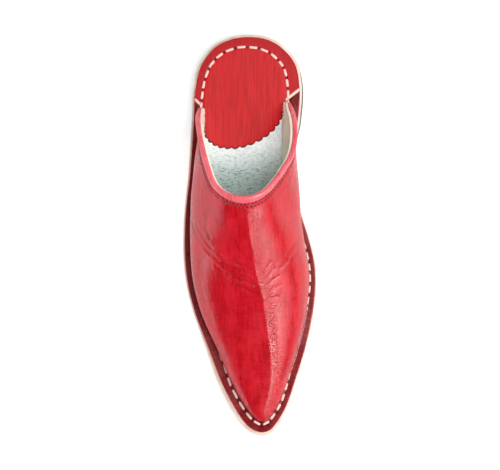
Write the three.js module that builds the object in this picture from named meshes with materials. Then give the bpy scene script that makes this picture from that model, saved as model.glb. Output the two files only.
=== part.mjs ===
// Babouche slipper, right shoe: a flat leather mule with a long pointed toe, an open back,
// a low heel lift and an upper whose lower edge is turned outwards and stitched down.
//
// Every size is in millimetres. A place on the shoe is given by its station, which runs
// along the foot from the back of the heel to the tip of the toe, by its distance across
// the foot, which is positive on the inner (medial) side, and by its height. A walk is a
// distance along the sole's edge from the tip of the toe, negative on the outer (lateral)
// side. In the model the toe points along -Y, the medial side is +X and +Z is up.
import * as THREE from "three";

// Driving sizes
const LENGTH = 275;
const SOLE_THICKNESS = 4.5;
const LIFT_HEIGHT = 6;
const HEEL_BREAST = 72;
const TREAD_START = 138;
const TREAD_END = 186;
const TOE_SPRING = 11.5;
const TURNED_EDGE_THICKNESS = 1.8;
const WALL_THICKNESS = 2.2;
const TOE_THINNING = { share: 0.45, walk: 16 };
const INSOLE_THICKNESS = 1.8;
const SOCK_THICKNESS = 1.2;
const BINDING_THICKNESS = 1;
const BINDING_OUTSIDE = 5;
const BINDING_INSIDE = 3.5;
const BEND_RADIUS = 1.4;
const GAP = 0.3;
const CLEARANCE = 0.5;

// How finely the solids are divided
const RIBS = 80;
const WALL_ROWS = 13;
const BEND_ROWS = 2;
const SOLE_ROWS = 62;
const LIFT_ROWS = 30;
const INSOLE_FORE_ROWS = 40;
const INSOLE_HEEL_ROWS = 16;

// The sole's outline, from the back of the heel to the tip of the toe
const SOLE = [
  { station: 0, lateral: 0.4, medial: 0.4 },
  { station: 1.7, lateral: -13.5, medial: 12.1 },
  { station: 8, lateral: -25.6, medial: 23.1 },
  { station: 20, lateral: -34.8, medial: 32.6 },
  { station: 37, lateral: -39.2, medial: 35.6 },
  { station: 57, lateral: -40, medial: 34.4 },
  { station: 76, lateral: -41, medial: 31.8 },
  { station: 98, lateral: -42.5, medial: 31 },
  { station: 120, lateral: -44.9, medial: 35 },
  { station: 140, lateral: -45.8, medial: 41.1 },
  { station: 158, lateral: -45.3, medial: 45.2 },
  { station: 172, lateral: -43.5, medial: 45.8 },
  { station: 189, lateral: -39.3, medial: 44.2 },
  { station: 212, lateral: -31.3, medial: 39.5 },
  { station: 238, lateral: -22.2, medial: 31.7 },
  { station: 256, lateral: -13.2, medial: 25.6 },
  { station: 267.5, lateral: -5.5, medial: 19.5 },
  { station: 273, lateral: 1, medial: 14.8 },
  { station: LENGTH, lateral: 8, medial: 8 },
];

// How far in from the sole's edge lie the cut edge of the turned-out leather (rim) and the
// foot of the wall, and how far the wall swells outwards above its foot (swell)
const SEAM = [
  { walk: -300, rim: 1.6, foot: 8.4, swell: 1 },
  { walk: -245, rim: 1.6, foot: 6.8, swell: 0.8 },
  { walk: -226, rim: 1.4, foot: 6.4, swell: 2.4 },
  { walk: -206, rim: 1.2, foot: 6.4, swell: 6.2 },
  { walk: -185, rim: 1, foot: 6.4, swell: 5.7 },
  { walk: -168, rim: 1, foot: 6.3, swell: 4.2 },
  { walk: -143, rim: 1, foot: 6.2, swell: 2.9 },
  { walk: -118, rim: 1, foot: 6.3, swell: 2.8 },
  { walk: -92, rim: 1.1, foot: 6.9, swell: 2.7 },
  { walk: -58, rim: 2.2, foot: 8.4, swell: 0.8 },
  { walk: -31, rim: 2.5, foot: 8.9, swell: 0.3 },
  { walk: 0, rim: 2.2, foot: 9.7, swell: 0.2 },
  { walk: 28, rim: 1.1, foot: 7, swell: 0.3 },
  { walk: 55, rim: 0.8, foot: 6.4, swell: 0.8 },
  { walk: 88, rim: 0.8, foot: 6, swell: 1.1 },
  { walk: 121, rim: 0.8, foot: 5.7, swell: 1.1 },
  { walk: 138, rim: 0.8, foot: 5.8, swell: 2 },
  { walk: 156, rim: 0.8, foot: 5.9, swell: 5.2 },
  { walk: 173, rim: 0.8, foot: 5.6, swell: 8.4 },
  { walk: 190, rim: 0.8, foot: 5.9, swell: 9.8 },
  { walk: 206, rim: 0.9, foot: 7, swell: 7.5 },
  { walk: 223, rim: 1.1, foot: 9, swell: 3.5 },
  { walk: 242, rim: 1.3, foot: 9.8, swell: 1.2 },
  { walk: 300, rim: 1.6, foot: 10, swell: 1 },
];

// The last's cross-sections: where the crest runs, its height above the turned edge, and
// the power of the rounded arch on each side of it. Behind the throat the crest is only
// the last's, because the shoe is open there.
const LAST = [
  { station: 30, crest: -4, height: 70, power: 2.6 },
  { station: 60, crest: -4, height: 70, power: 2.58 },
  { station: 80, crest: -4, height: 68, power: 2.5 },
  { station: 100, crest: -3.5, height: 62, power: 2.35 },
  { station: 116, crest: -2.5, height: 55.5, power: 2.2 },
  { station: 140, crest: 1, height: 46.5, power: 2.2 },
  { station: 165, crest: 4, height: 36.5, power: 2.25 },
  { station: 190, crest: 9, height: 27.5, power: 2.3 },
  { station: 215, crest: 13.5, height: 20, power: 2.3 },
  { station: 240, crest: 14, height: 15, power: 2.2 },
  { station: 258, crest: 10.5, height: 12.5, power: 2.1 },
  { station: LENGTH, crest: 8, height: 12, power: 2 },
];
const TOE_ROUNDING = { start: 226, power: 2.3 };

// The swell is greatest at this share of the crest's height, and none at foot and crest
const SWELL_HEIGHT = 0.32;

// A rib climbs first and runs back towards the collar later, by this power
const RIB_CURVE = 2.2;

// Below these heights the binding gets narrower, and the wall's thickness is measured level.
// It is also measured level over this share of every rib, where the wall stands upright.
const BINDING_TAPER = 9;
const LEVEL_WALL = 24;
const UPRIGHT_FOOT = 0.12;

// The turned edge runs on behind each wing to a slanted cut, and under the heel sock
const REAR_SWEEP = 20;
const REAR_SLANT = 9;
const UNDERLAP = 3;

// The insole starts this far round from the tip, and its heel stays in from the sock's edge
const INSOLE_TIP_WALK = 16;
const RIM_MARGIN = 0.2;

// The heel lift is a little smaller than the sole, and flares out on the medial side
const LIFT_INSET = 0.4;
const LIFT_FLARE = { lateral: 0.2, medial: 1.7 };

// The top edge of the collar, from the end of the lateral wing round the throat to the end
// of the medial wing. Each row is the end of the rib that starts at the row's walk; its
// angle on the last's section is 0 at the crest and 90 at the foot of the wall.
const COLLAR = [
  { walk: -240.3, station: 50.2, across: -34.8, angle: -89 },
  { walk: -235.5, station: 55, across: -36.1, angle: -85.4 },
  { walk: -224.5, station: 66, across: -35.2, angle: -76.2 },
  { walk: -209.5, station: 80, across: -32, angle: -64.6 },
  { walk: -194, station: 91, across: -28.8, angle: -54.4 },
  { walk: -183.5, station: 96.3, across: -27, angle: -48.6 },
  { walk: -169, station: 101.2, across: -24.8, angle: -42 },
  { walk: -144, station: 105.5, across: -21.2, angle: -33.4 },
  { walk: -110, station: 108.8, across: -16.2, angle: -24 },
  { walk: -56, station: 111.1, across: -10.2, angle: -13.3 },
  { walk: 0, station: 111.8, across: -3.9, angle: -3 },
  { walk: 52, station: 110.8, across: 2.1, angle: 7.8 },
  { walk: 100, station: 108.4, across: 7.6, angle: 18.5 },
  { walk: 132, station: 105.3, across: 12.1, angle: 28.7 },
  { walk: 155, station: 101.5, across: 16, angle: 38.5 },
  { walk: 169, station: 97.6, across: 19.5, angle: 44.4 },
  { walk: 181, station: 93, across: 22.6, angle: 50 },
  { walk: 199, station: 83, across: 28, angle: 60.6 },
  { walk: 213, station: 73, across: 30.8, angle: 68.6 },
  { walk: 223, station: 64, across: 31.4, angle: 75.5 },
  { walk: 232, station: 55.2, across: 30.4, angle: 82.6 },
  { walk: 240.5, station: 46.8, across: 27.4, angle: 89 },
];

// Where the heel sock ends on each side, and its scalloped front edge
const SOCK = {
  lateral: { rimWalk: -246, sideWalk: -229, apex: { across: -34.6, station: 49.2 } },
  medial: { rimWalk: 249.5, sideWalk: 238, apex: { across: 26.4, station: 45 } },
  frontStation: 77.6,
  scallops: 15,
  scallopDepth: 1.4,
};

const COLOURS = {
  red: 0xcf2033,
  binding: 0xf0616c,
  cream: 0xecd2b4,
  suede: 0xaebdb9,
  sockRed: 0xce2f33,
  rubber: 0x4a423c,
};

// A smooth curve through one column of a table
function read(rows, by, at, column) {
  const last = rows.length - 1;
  const value = Math.min(Math.max(at, rows[0][by]), rows[last][by]);
  let i = 0;
  while (i < last - 1 && rows[i + 1][by] < value) i += 1;
  const slope = (k) => (rows[k + 1][column] - rows[k][column]) / (rows[k + 1][by] - rows[k][by]);
  const tangent = (k) => {
    if (k === 0) return slope(0);
    if (k === last) return slope(last - 1);
    const reach = rows[k + 1][by] - rows[k - 1][by];
    const weight = (rows[k + 1][by] - rows[k][by]) / reach;
    return slope(k - 1) * weight + slope(k) * (1 - weight);
  };
  const span = rows[i + 1][by] - rows[i][by];
  const t = (value - rows[i][by]) / span;
  const rise = rows[i + 1][column] - rows[i][column];
  const a = span * tangent(i) - rise;
  const b = -span * tangent(i + 1) + rise;
  return rows[i][column] + t * rise + t * (1 - t) * (a * (1 - t) + b * t);
}

function smoothStep(from, to, at) {
  const t = Math.min(Math.max((at - from) / (to - from), 0), 1);
  return t * t * (3 - 2 * t);
}

// ---- The sole's profile and its edge ----

function soleBottom(station) {
  const seat = LIFT_HEIGHT + GAP;
  const drop = seat * (1 - smoothStep(HEEL_BREAST, TREAD_START, station));
  const forward = Math.max(0, station - TREAD_END) / (LENGTH - TREAD_END);
  return drop + TOE_SPRING * forward ** 1.8;
}

function soleTop(station) {
  return soleBottom(station) + SOLE_THICKNESS;
}

function turnedEdgeTop(station) {
  return soleTop(station) + GAP + TURNED_EDGE_THICKNESS;
}

// The sole's edge as a closed curve, with distances walked from the tip of the toe
function makeEdge() {
  const inner = SOLE.slice(1, -1);
  const heel = new THREE.Vector3(SOLE[0].lateral, SOLE[0].station, 0);
  const tip = new THREE.Vector3(SOLE.at(-1).lateral, LENGTH, 0);
  const lateral = inner.map((row) => new THREE.Vector3(row.lateral, row.station, 0));
  const medial = inner.map((row) => new THREE.Vector3(row.medial, row.station, 0)).reverse();
  const curve = new THREE.CatmullRomCurve3([heel, ...lateral, tip, ...medial], true, "centripetal");
  const steps = 4000;
  const tipStep = Math.round((steps * (lateral.length + 1)) / (2 * lateral.length + 2));
  const walked = [0];
  for (let i = 1; i <= steps; i += 1) {
    const step = curve.getPoint(i / steps).distanceTo(curve.getPoint((i - 1) / steps));
    walked.push(walked[i - 1] + step);
  }
  return { curve, walks: walked.map((distance) => distance - walked[tipStep]) };
}

const EDGE = makeEdge();
const LATERAL_HALF = -EDGE.walks[0];
const MEDIAL_HALF = EDGE.walks.at(-1);

// The point at a walk, moved inwards from the edge by an inset
function edgePoint(walk, inset = 0) {
  const { curve, walks } = EDGE;
  let low = 0;
  let high = walks.length - 1;
  while (high - low > 1) {
    const middle = (low + high) >> 1;
    if (walks[middle] <= walk) low = middle;
    else high = middle;
  }
  const steps = walks.length - 1;
  const at = (low + (walk - walks[low]) / (walks[high] - walks[low])) / steps;
  const delta = 0.5 / steps;
  const point = curve.getPoint(at);
  const ahead = curve.getPoint((at + delta + 1) % 1);
  const behind = curve.getPoint((at - delta + 1) % 1);
  const along = ahead.sub(behind).normalize();
  const inward = new THREE.Vector2(along.y, -along.x);
  return {
    across: point.x + inward.x * inset,
    station: point.y + inward.y * inset,
    outward: inward.negate(),
  };
}

// ---- The upper's outer surface ----

function seam(walk, column) {
  return read(SEAM, "walk", walk, column);
}

function wallFoot(walk, inset = 0) {
  return edgePoint(walk, seam(walk, "foot") + inset);
}

// The foot of the wall as two lines, so that a station gives its distance across
function makeFootLine(side) {
  const line = [];
  for (let walk = 0; walk <= 290; walk += 1) {
    line.push(wallFoot(side * walk));
  }
  return line;
}

const FOOT_LINE = { lateral: makeFootLine(-1), medial: makeFootLine(1) };
const TIP = FOOT_LINE.medial[0];

function footAcross(side, station) {
  const line = FOOT_LINE[side];
  if (station >= line[0].station) return line[0].across;
  let i = 1;
  while (i < line.length - 1 && line[i].station > station) i += 1;
  const t = (line[i - 1].station - station) / (line[i - 1].station - line[i].station);
  return line[i - 1].across + (line[i].across - line[i - 1].across) * t;
}

function last(station) {
  const reach = Math.max(0, station - TOE_ROUNDING.start) / (TIP.station - TOE_ROUNDING.start);
  const closing = Math.max(0, 1 - reach ** TOE_ROUNDING.power) ** (1 / TOE_ROUNDING.power);
  const settle = smoothStep(TOE_ROUNDING.start, TIP.station, station);
  const crest = read(LAST, "station", station, "crest");
  return {
    crest: crest + (TIP.across - crest) * settle,
    height: read(LAST, "station", station, "height") * closing,
    power: read(LAST, "station", station, "power"),
  };
}

function lastHeight(across, station) {
  const { crest, height, power } = last(station);
  const side = across < crest ? "lateral" : "medial";
  const half = Math.max(Math.abs(footAcross(side, station) - crest), 1e-6);
  const q = Math.min(Math.abs(across - crest) / half, 1);
  return height * (1 - q ** power) ** (1 / power);
}

// A rib starts at the foot of the wall and ends at the collar's top edge
function makeRib(walk) {
  const foot = wallFoot(walk);
  const station = read(COLLAR, "walk", walk, "station");
  const angle = THREE.MathUtils.degToRad(read(COLLAR, "walk", walk, "angle"));
  const { crest, height, power } = last(station);
  const side = angle < 0 ? "lateral" : "medial";
  const half = Math.abs(footAcross(side, station) - crest);
  const top = crest + Math.sign(angle) * half * Math.abs(Math.sin(angle)) ** (2 / power);
  const topHeight = height * Math.cos(angle) ** (2 / power);
  const swell = seam(walk, "swell");
  const rib = { foot, top, topStation: station, topHeight, swell, lean: 0 };
  const bare = ribPoint(rib, 1);
  rib.lean = read(COLLAR, "walk", walk, "across") - bare.x;
  return rib;
}

function swellShape(share) {
  const from = share - SWELL_HEIGHT;
  const turn = from < 0 ? from / SWELL_HEIGHT : from / (1 - SWELL_HEIGHT);
  return Math.cos((Math.PI / 2) * turn);
}

function ribPoint(rib, u) {
  const g = u ** RIB_CURVE;
  const station = rib.foot.station + (rib.topStation - rib.foot.station) * g;
  const across = rib.foot.across + (rib.top - rib.foot.across) * g;
  const height = lastHeight(across, station);
  const share = height / Math.max(last(station).height, 1e-6);
  const swell = rib.swell * swellShape(Math.min(share, 1));
  const lean = rib.lean * Math.min(height / rib.topHeight, 1);
  const lift = BEND_RADIUS * (1 - share);
  return new THREE.Vector3(
    across + rib.foot.outward.x * swell + lean,
    station + rib.foot.outward.y * swell,
    turnedEdgeTop(station) + height + lift,
  );
}

// A rib with the surface's outward normal, and the length that one unit of u covers
function makeRibFrame(walk) {
  const rib = makeRib(walk);
  const before = makeRib(Math.max(walk - 1, COLLAR[0].walk));
  const after = makeRib(Math.min(walk + 1, COLLAR.at(-1).walk));
  const level = new THREE.Vector3(rib.foot.outward.x, rib.foot.outward.y, 0);
  const lowness = Math.max(0, 1 - rib.topHeight / LEVEL_WALL);
  const surface = (u) => {
    const point = ribPoint(rib, u);
    const ahead = Math.min(u + 0.002, 1);
    const up = ribPoint(rib, ahead).sub(ribPoint(rib, ahead - 0.004));
    const along = ribPoint(after, u).sub(ribPoint(before, u));
    const levelShare = Math.max(lowness, 1 - u / UPRIGHT_FOOT);
    const normal = up.cross(along).normalize().lerp(level, levelShare).normalize();
    return { point, normal };
  };
  const reach = ribPoint(rib, 1).distanceTo(ribPoint(rib, 0.98)) / 0.02;
  return { rib, surface, reach };
}

// ---- Solids from sections ----

// Stations across the shoe become model coordinates here
function place(vector) {
  return [vector.x, LENGTH / 2 - vector.y, vector.z];
}

// A closed body through sections that are loops with the same number of points. Each cap
// is triangulated in the flat coordinates given for it.
function loft(sections, flatStart, flatEnd) {
  const count = sections[0].length;
  const positions = sections.flat().flatMap(place);
  const triangles = [];
  for (let i = 0; i < sections.length - 1; i += 1) {
    for (let j = 0; j < count; j += 1) {
      const a = i * count + j;
      const b = i * count + ((j + 1) % count);
      triangles.push([a, b, b + count], [a, b + count, a + count]);
    }
  }
  const lastStart = (sections.length - 1) * count;
  for (const [a, b, c] of capFaces(flatStart)) {
    triangles.push([c, b, a]);
  }
  for (const [a, b, c] of capFaces(flatEnd)) {
    triangles.push([lastStart + a, lastStart + b, lastStart + c]);
  }
  const geometry = new THREE.BufferGeometry();
  geometry.setAttribute("position", new THREE.Float32BufferAttribute(positions, 3));
  geometry.setIndex(triangles.flat());
  return faceOutwards(geometry);
}

// The triangles of a flat outline, turned the way that its points run
function capFaces(outline) {
  const faces = THREE.ShapeUtils.triangulateShape(outline, []);
  const turnsLeft = THREE.ShapeUtils.area(outline) > 0;
  return turnsLeft ? faces : faces.map(([a, b, c]) => [c, b, a]);
}

function faceOutwards(geometry) {
  const position = geometry.getAttribute("position");
  const index = Array.from(geometry.getIndex().array);
  const corner = [new THREE.Vector3(), new THREE.Vector3(), new THREE.Vector3()];
  let volume = 0;
  for (let i = 0; i < index.length; i += 3) {
    corner.forEach((vector, k) => vector.fromBufferAttribute(position, index[i + k]));
    volume += corner[0].dot(corner[1].clone().cross(corner[2]));
  }
  if (volume < 0) {
    for (let i = 0; i < index.length; i += 3) {
      [index[i], index[i + 1]] = [index[i + 1], index[i]];
    }
    geometry.setIndex(index);
  }
  geometry.computeVertexNormals();
  return geometry;
}

// A plate between a lateral and a medial line of corners, each with a bottom and a top
function plate(rows) {
  const sections = rows.map(({ lateral, medial }) => {
    return [lateral.bottom, medial.bottom, medial.top, lateral.top];
  });
  const square = [
    new THREE.Vector2(0, 0),
    new THREE.Vector2(1, 0),
    new THREE.Vector2(1, 1),
    new THREE.Vector2(0, 1),
  ];
  return loft(sections, square, square);
}

function upright(point, bottom, thickness) {
  return {
    bottom: new THREE.Vector3(point.across, point.station, bottom),
    top: new THREE.Vector3(point.across, point.station, bottom + thickness),
  };
}

// ---- Outsole: one thick leather sole with toe spring and a raised heel seat ----

function makeOutsole() {
  const corner = (walk) => {
    const point = edgePoint(walk);
    return upright(point, soleBottom(point.station), SOLE_THICKNESS);
  };
  const bluntEnd = 0.008;
  const rows = [];
  for (let i = 0; i <= SOLE_ROWS; i += 1) {
    const turn = (1 - Math.cos((Math.PI * i) / SOLE_ROWS)) / 2;
    const share = bluntEnd + (1 - 2 * bluntEnd) * turn;
    rows.push({ lateral: corner(-share * LATERAL_HALF), medial: corner(share * MEDIAL_HALF) });
  }
  return plate(rows);
}

// ---- Heel lift: a low block that flares a little on the medial side ----

function walkAtStation(side, station) {
  let low = 0;
  let high = side < 0 ? LATERAL_HALF : MEDIAL_HALF;
  while (high - low > 0.01) {
    const middle = (low + high) / 2;
    if (edgePoint(side * middle).station > station) low = middle;
    else high = middle;
  }
  return side * low;
}

function makeHeelLift() {
  const lateralStart = walkAtStation(-1, HEEL_BREAST);
  const medialStart = walkAtStation(1, HEEL_BREAST);
  const corner = (walk, flare) => {
    const foot = edgePoint(walk, LIFT_INSET - flare);
    const head = edgePoint(walk, LIFT_INSET);
    return {
      bottom: new THREE.Vector3(foot.across, foot.station, 0),
      top: new THREE.Vector3(head.across, head.station, LIFT_HEIGHT),
    };
  };
  const bluntEnd = 0.008;
  const rows = [];
  for (let i = 0; i <= LIFT_ROWS; i += 1) {
    const share = (1 - bluntEnd) * Math.sin((Math.PI * i) / (2 * LIFT_ROWS));
    const fade = 1 - smoothStep(0.3, 0.75, share);
    const start = smoothStep(-0.1, 0.12, share);
    rows.push({
      lateral: corner(
        lateralStart + (-LATERAL_HALF - lateralStart) * share,
        LIFT_FLARE.lateral * fade,
      ),
      medial: corner(
        medialStart + (MEDIAL_HALF - medialStart) * share,
        LIFT_FLARE.medial * fade * start,
      ),
    });
  }
  return plate(rows);
}

// ---- Insole: inside the wall in front, out to the rim under the heel ----

function makeInsole() {
  const corner = (walk, inset) => {
    const point = edgePoint(walk, inset);
    return upright(point, soleTop(point.station) + GAP, INSOLE_THICKNESS);
  };
  const insideWall = (walk) => corner(walk, seam(walk, "foot") + WALL_THICKNESS + CLEARANCE);
  const atRim = (walk) => corner(walk, seam(walk, "rim") + RIM_MARGIN);
  const lateralHeel = -SOCK.lateral.rimWalk + UNDERLAP + CLEARANCE;
  const medialHeel = SOCK.medial.rimWalk + UNDERLAP + CLEARANCE;
  const bluntEnd = 0.015;
  const rows = [];
  for (let i = 0; i <= INSOLE_FORE_ROWS; i += 1) {
    const share = i / INSOLE_FORE_ROWS;
    const lateral = INSOLE_TIP_WALK + (lateralHeel - REAR_SLANT - INSOLE_TIP_WALK) * share;
    const medial = INSOLE_TIP_WALK + (medialHeel - REAR_SLANT - INSOLE_TIP_WALK) * share;
    rows.push({ lateral: insideWall(-lateral), medial: insideWall(medial) });
  }
  for (let i = 0; i <= INSOLE_HEEL_ROWS; i += 1) {
    const share = (1 - bluntEnd) * Math.sin((Math.PI * i) / (2 * INSOLE_HEEL_ROWS));
    const lateral = lateralHeel + (LATERAL_HALF - lateralHeel) * share;
    const medial = medialHeel + (MEDIAL_HALF - medialHeel) * share;
    rows.push({ lateral: atRim(-lateral), medial: atRim(medial) });
  }
  return plate(rows);
}

// ---- Heel sock: covers the heel, with a scalloped front edge ----

function makeHeelSock() {
  const outline = [];
  const add = (across, station) => outline.push(new THREE.Vector2(across, LENGTH / 2 - station));
  const insideWall = (walk) => edgePoint(walk, seam(walk, "foot") + WALL_THICKNESS + CLEARANCE);
  const atRim = (walk) => edgePoint(walk, seam(walk, "rim") + RIM_MARGIN);
  const { lateral, medial, frontStation, scallops, scallopDepth } = SOCK;
  const steps = 20;
  const turn = (i) => Math.sin((Math.PI * i) / (2 * steps));

  // Round the heel, from the lateral wing to the medial one
  add(lateral.apex.across, lateral.apex.station);
  for (let i = 0; i <= steps; i += 1) {
    const point = atRim(lateral.rimWalk + (-LATERAL_HALF - lateral.rimWalk) * turn(i));
    add(point.across, point.station);
  }
  for (let i = steps - 1; i >= 0; i -= 1) {
    const point = atRim(medial.rimWalk + (MEDIAL_HALF - medial.rimWalk) * turn(i));
    add(point.across, point.station);
  }
  add(medial.apex.across, medial.apex.station);

  // Back along the front edge, which is a half ellipse with small round lobes
  const right = insideWall(medial.sideWalk);
  const left = insideWall(lateral.sideWalk);
  add(insideWall(medial.rimWalk - REAR_SLANT).across - CLEARANCE, medial.apex.station);
  const middle = (left.across + right.across) / 2;
  const level = (left.station + right.station) / 2;
  const width = (right.across - left.across) / 2;
  const tilt = (right.station - left.station) / 2;
  const depth = frontStation - level;
  const points = scallops * 4;
  for (let i = 0; i <= points; i += 1) {
    const angle = (Math.PI * i) / points;
    const lobe = scallopDepth * (Math.abs(Math.sin(scallops * angle)) - 1);
    add(
      middle + (width + lobe) * Math.cos(angle),
      level + tilt * Math.cos(angle) + (depth + lobe) * Math.sin(angle) ** 0.9,
    );
  }
  add(insideWall(lateral.rimWalk + REAR_SLANT).across + CLEARANCE, lateral.apex.station);
  const shape = new THREE.Shape(outline);
  const options = { depth: SOCK_THICKNESS, bevelEnabled: false, steps: 1 };
  return new THREE.ExtrudeGeometry(shape, options);
}

const SOCK_HEIGHT = soleTop(0) + GAP + INSOLE_THICKNESS + GAP;

// ---- Upper: one hollow wall with its lower edge turned outwards ----

const WING_ENDS = { lateral: COLLAR[0].walk, medial: COLLAR.at(-1).walk };

// The walk of each rib: close together round the toe and at the ends of the wings
function ribWalks() {
  const crowding = 0.6;
  const walks = [];
  for (let i = 0; i <= RIBS; i += 1) {
    const t = (2 * i) / RIBS - 1;
    const spread = t - (crowding * Math.sin(2 * Math.PI * t)) / (2 * Math.PI);
    walks.push(spread < 0 ? -spread * WING_ENDS.lateral : spread * WING_ENDS.medial);
  }
  return walks;
}

// The turned edge runs further back than the wall, by a slanted cut
function turnedEdgeWalk(walk) {
  const end = walk < 0 ? -WING_ENDS.lateral : WING_ENDS.medial;
  const rim = walk < 0 ? -SOCK.lateral.rimWalk : SOCK.medial.rimWalk;
  const slant = rim + UNDERLAP - end;
  const near = Math.max(0, Math.abs(walk) - end + REAR_SWEEP) / REAR_SWEEP;
  return walk + Math.sign(walk) * slant * near;
}

// How much of its full size the binding has: all of it, except at the ends of the wings
function bindingSize(rib) {
  return Math.min(1, rib.topHeight / BINDING_TAPER);
}

function makeUpper() {
  const firstStep = 0.02;
  const sections = ribWalks().map((walk) => {
    const { rib, surface, reach } = makeRibFrame(walk);
    const { foot } = rib;
    const fromFoot = (distance, height) => {
      const station = foot.station + foot.outward.y * distance;
      const across = foot.across + foot.outward.x * distance;
      return new THREE.Vector3(across, station, turnedEdgeTop(station) + height);
    };
    const outer = [];
    const inner = [];
    for (let i = 0; i <= BEND_ROWS; i += 1) {
      const turn = (Math.PI * i) / (2 * (BEND_ROWS + 1));
      outer.push(fromFoot(BEND_RADIUS * (1 - Math.sin(turn)), BEND_RADIUS * (1 - Math.cos(turn))));
    }
    // The wall stops inside the binding's fold, and is thinner right at the toe
    const end = 1 - (BINDING_THICKNESS + GAP * (3 - 2 * bindingSize(rib))) / reach;
    const toe = Math.exp(-((walk / TOE_THINNING.walk) ** 2));
    for (let i = 0; i <= WALL_ROWS; i += 1) {
      const u = (end * i) / WALL_ROWS;
      const { point, normal } = surface(Math.max(u, firstStep));
      const thickness = WALL_THICKNESS * (1 - TOE_THINNING.share * toe * (1 - u) ** 2);
      if (i > 0) outer.push(point);
      inner.push(point.clone().addScaledVector(normal, -thickness));
    }
    const cut = edgePoint(turnedEdgeWalk(walk), seam(walk, "rim"));
    const edge = upright(cut, soleTop(cut.station) + GAP, TURNED_EDGE_THICKNESS);
    const heel = fromFoot(-WALL_THICKNESS / 2, -TURNED_EDGE_THICKNESS);
    return [edge.bottom, edge.top, ...outer, ...inner.reverse(), heel];
  });
  const flat = (section) => {
    const origin = section[0];
    return section.map((point) => {
      const distance = Math.hypot(point.x - origin.x, point.y - origin.y);
      return new THREE.Vector2(-distance, point.z);
    });
  };
  return loft(sections, flat(sections[0]), flat(sections.at(-1)));
}

// ---- Collar binding: a strip folded over the upper's top edge ----

function makeBinding() {
  const sections = ribWalks().map((walk) => {
    const { rib, surface, reach } = makeRibFrame(walk);
    const at = (down, out) => {
      const { point, normal } = surface(1 - down / reach);
      return point.addScaledVector(normal, out);
    };
    const size = bindingSize(rib);
    const skin = BINDING_THICKNESS;
    const outside = BINDING_OUTSIDE * size;
    const inside = BINDING_INSIDE * size;
    const front = GAP * (2 - size);
    const back = -WALL_THICKNESS - front;
    // Up the outside, over the top, down the inside, and back through the fold
    return [
      at(outside, front),
      at(outside, front + 0.6 * skin),
      at(outside * 0.9, front + skin),
      at(outside * 0.45, front + skin),
      at(0.5 * skin, front + 0.9 * skin),
      at(0, 0),
      at(0, -WALL_THICKNESS),
      at(0.5 * skin, back - 0.9 * skin),
      at(inside * 0.6, back - skin),
      at(inside, back - 0.8 * skin),
      at(inside, back),
      at(skin, back),
      at(skin, front),
      at(outside * 0.45, front),
    ];
  });
  // The same section laid flat: distance up the wall, then distance through it
  const flat = [
    [0, 0], [0, 1], [1, 2], [4, 2], [6, 2], [7, 1], [7, -3],
    [6, -4], [4, -4], [2, -3], [2, -2], [5, -2], [5, 0], [3, 0],
  ].map(([up, through]) => new THREE.Vector2(up, through));
  return loft(sections, flat, flat);
}

// ---- The shoe ----

function mesh(name, geometry, colour, roughness) {
  const material = new THREE.MeshStandardMaterial({ color: colour, roughness, metalness: 0 });
  const result = new THREE.Mesh(geometry, material);
  result.name = name;
  return result;
}

const shoe = new THREE.Group();
shoe.add(mesh("outsole", makeOutsole(), COLOURS.cream, 0.7));
shoe.add(mesh("heel_lift", makeHeelLift(), COLOURS.rubber, 0.8));
shoe.add(mesh("insole", makeInsole(), COLOURS.suede, 0.95));
const sock = mesh("heel_sock", makeHeelSock(), COLOURS.sockRed, 0.6);
sock.position.z = SOCK_HEIGHT;
shoe.add(sock);
shoe.add(mesh("upper", makeUpper(), COLOURS.red, 0.45));
shoe.add(mesh("collar_binding", makeBinding(), COLOURS.binding, 0.45));

// The origin is on the ground, under the middle of the whole shoe
const bounds = new THREE.Box3().setFromObject(shoe);
const centre = bounds.getCenter(new THREE.Vector3());
shoe.position.set(-centre.x, -centre.y, -bounds.min.z);

export default shoe;
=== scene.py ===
import math

import bmesh
import bpy
import numpy as np
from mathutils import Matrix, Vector
from mathutils.geometry import delaunay_2d_cdt


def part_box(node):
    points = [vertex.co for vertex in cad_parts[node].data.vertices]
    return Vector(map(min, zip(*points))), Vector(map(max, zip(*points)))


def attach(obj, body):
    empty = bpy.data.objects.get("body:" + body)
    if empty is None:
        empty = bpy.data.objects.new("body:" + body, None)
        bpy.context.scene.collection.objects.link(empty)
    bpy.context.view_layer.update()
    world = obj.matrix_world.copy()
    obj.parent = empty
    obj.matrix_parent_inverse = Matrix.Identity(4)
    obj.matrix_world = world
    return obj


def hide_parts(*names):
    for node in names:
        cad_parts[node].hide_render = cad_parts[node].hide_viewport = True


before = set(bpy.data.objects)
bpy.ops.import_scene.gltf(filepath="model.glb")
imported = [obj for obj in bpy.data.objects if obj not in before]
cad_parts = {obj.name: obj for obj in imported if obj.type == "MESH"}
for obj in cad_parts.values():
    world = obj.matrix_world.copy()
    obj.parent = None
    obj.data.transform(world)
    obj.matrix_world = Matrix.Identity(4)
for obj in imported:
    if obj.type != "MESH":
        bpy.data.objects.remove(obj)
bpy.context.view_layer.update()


# ---- Outsole -------------------------------------------------------------------------
# One thick piece of undyed sole leather, cut to the shoe's outline and left bare. It has
# toe spring in front and a seat under the heel, and its edge is pared round and burnished.

# Sizes are in millimetres: across the foot (the medial side is positive), the station
# from the back of the heel, and the height. A walk runs along the edge from the toe's tip.
LENGTH = 275
SOLE_THICKNESS = 4.5
LIFT_HEIGHT = 6
HEEL_BREAST = 72
TREAD = (138, 186)
TOE_SPRING = 11.5
SPRING_POWER = 1.8
# The sole's top takes up the gap that the solids have between them
GAP = 0.3

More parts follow.
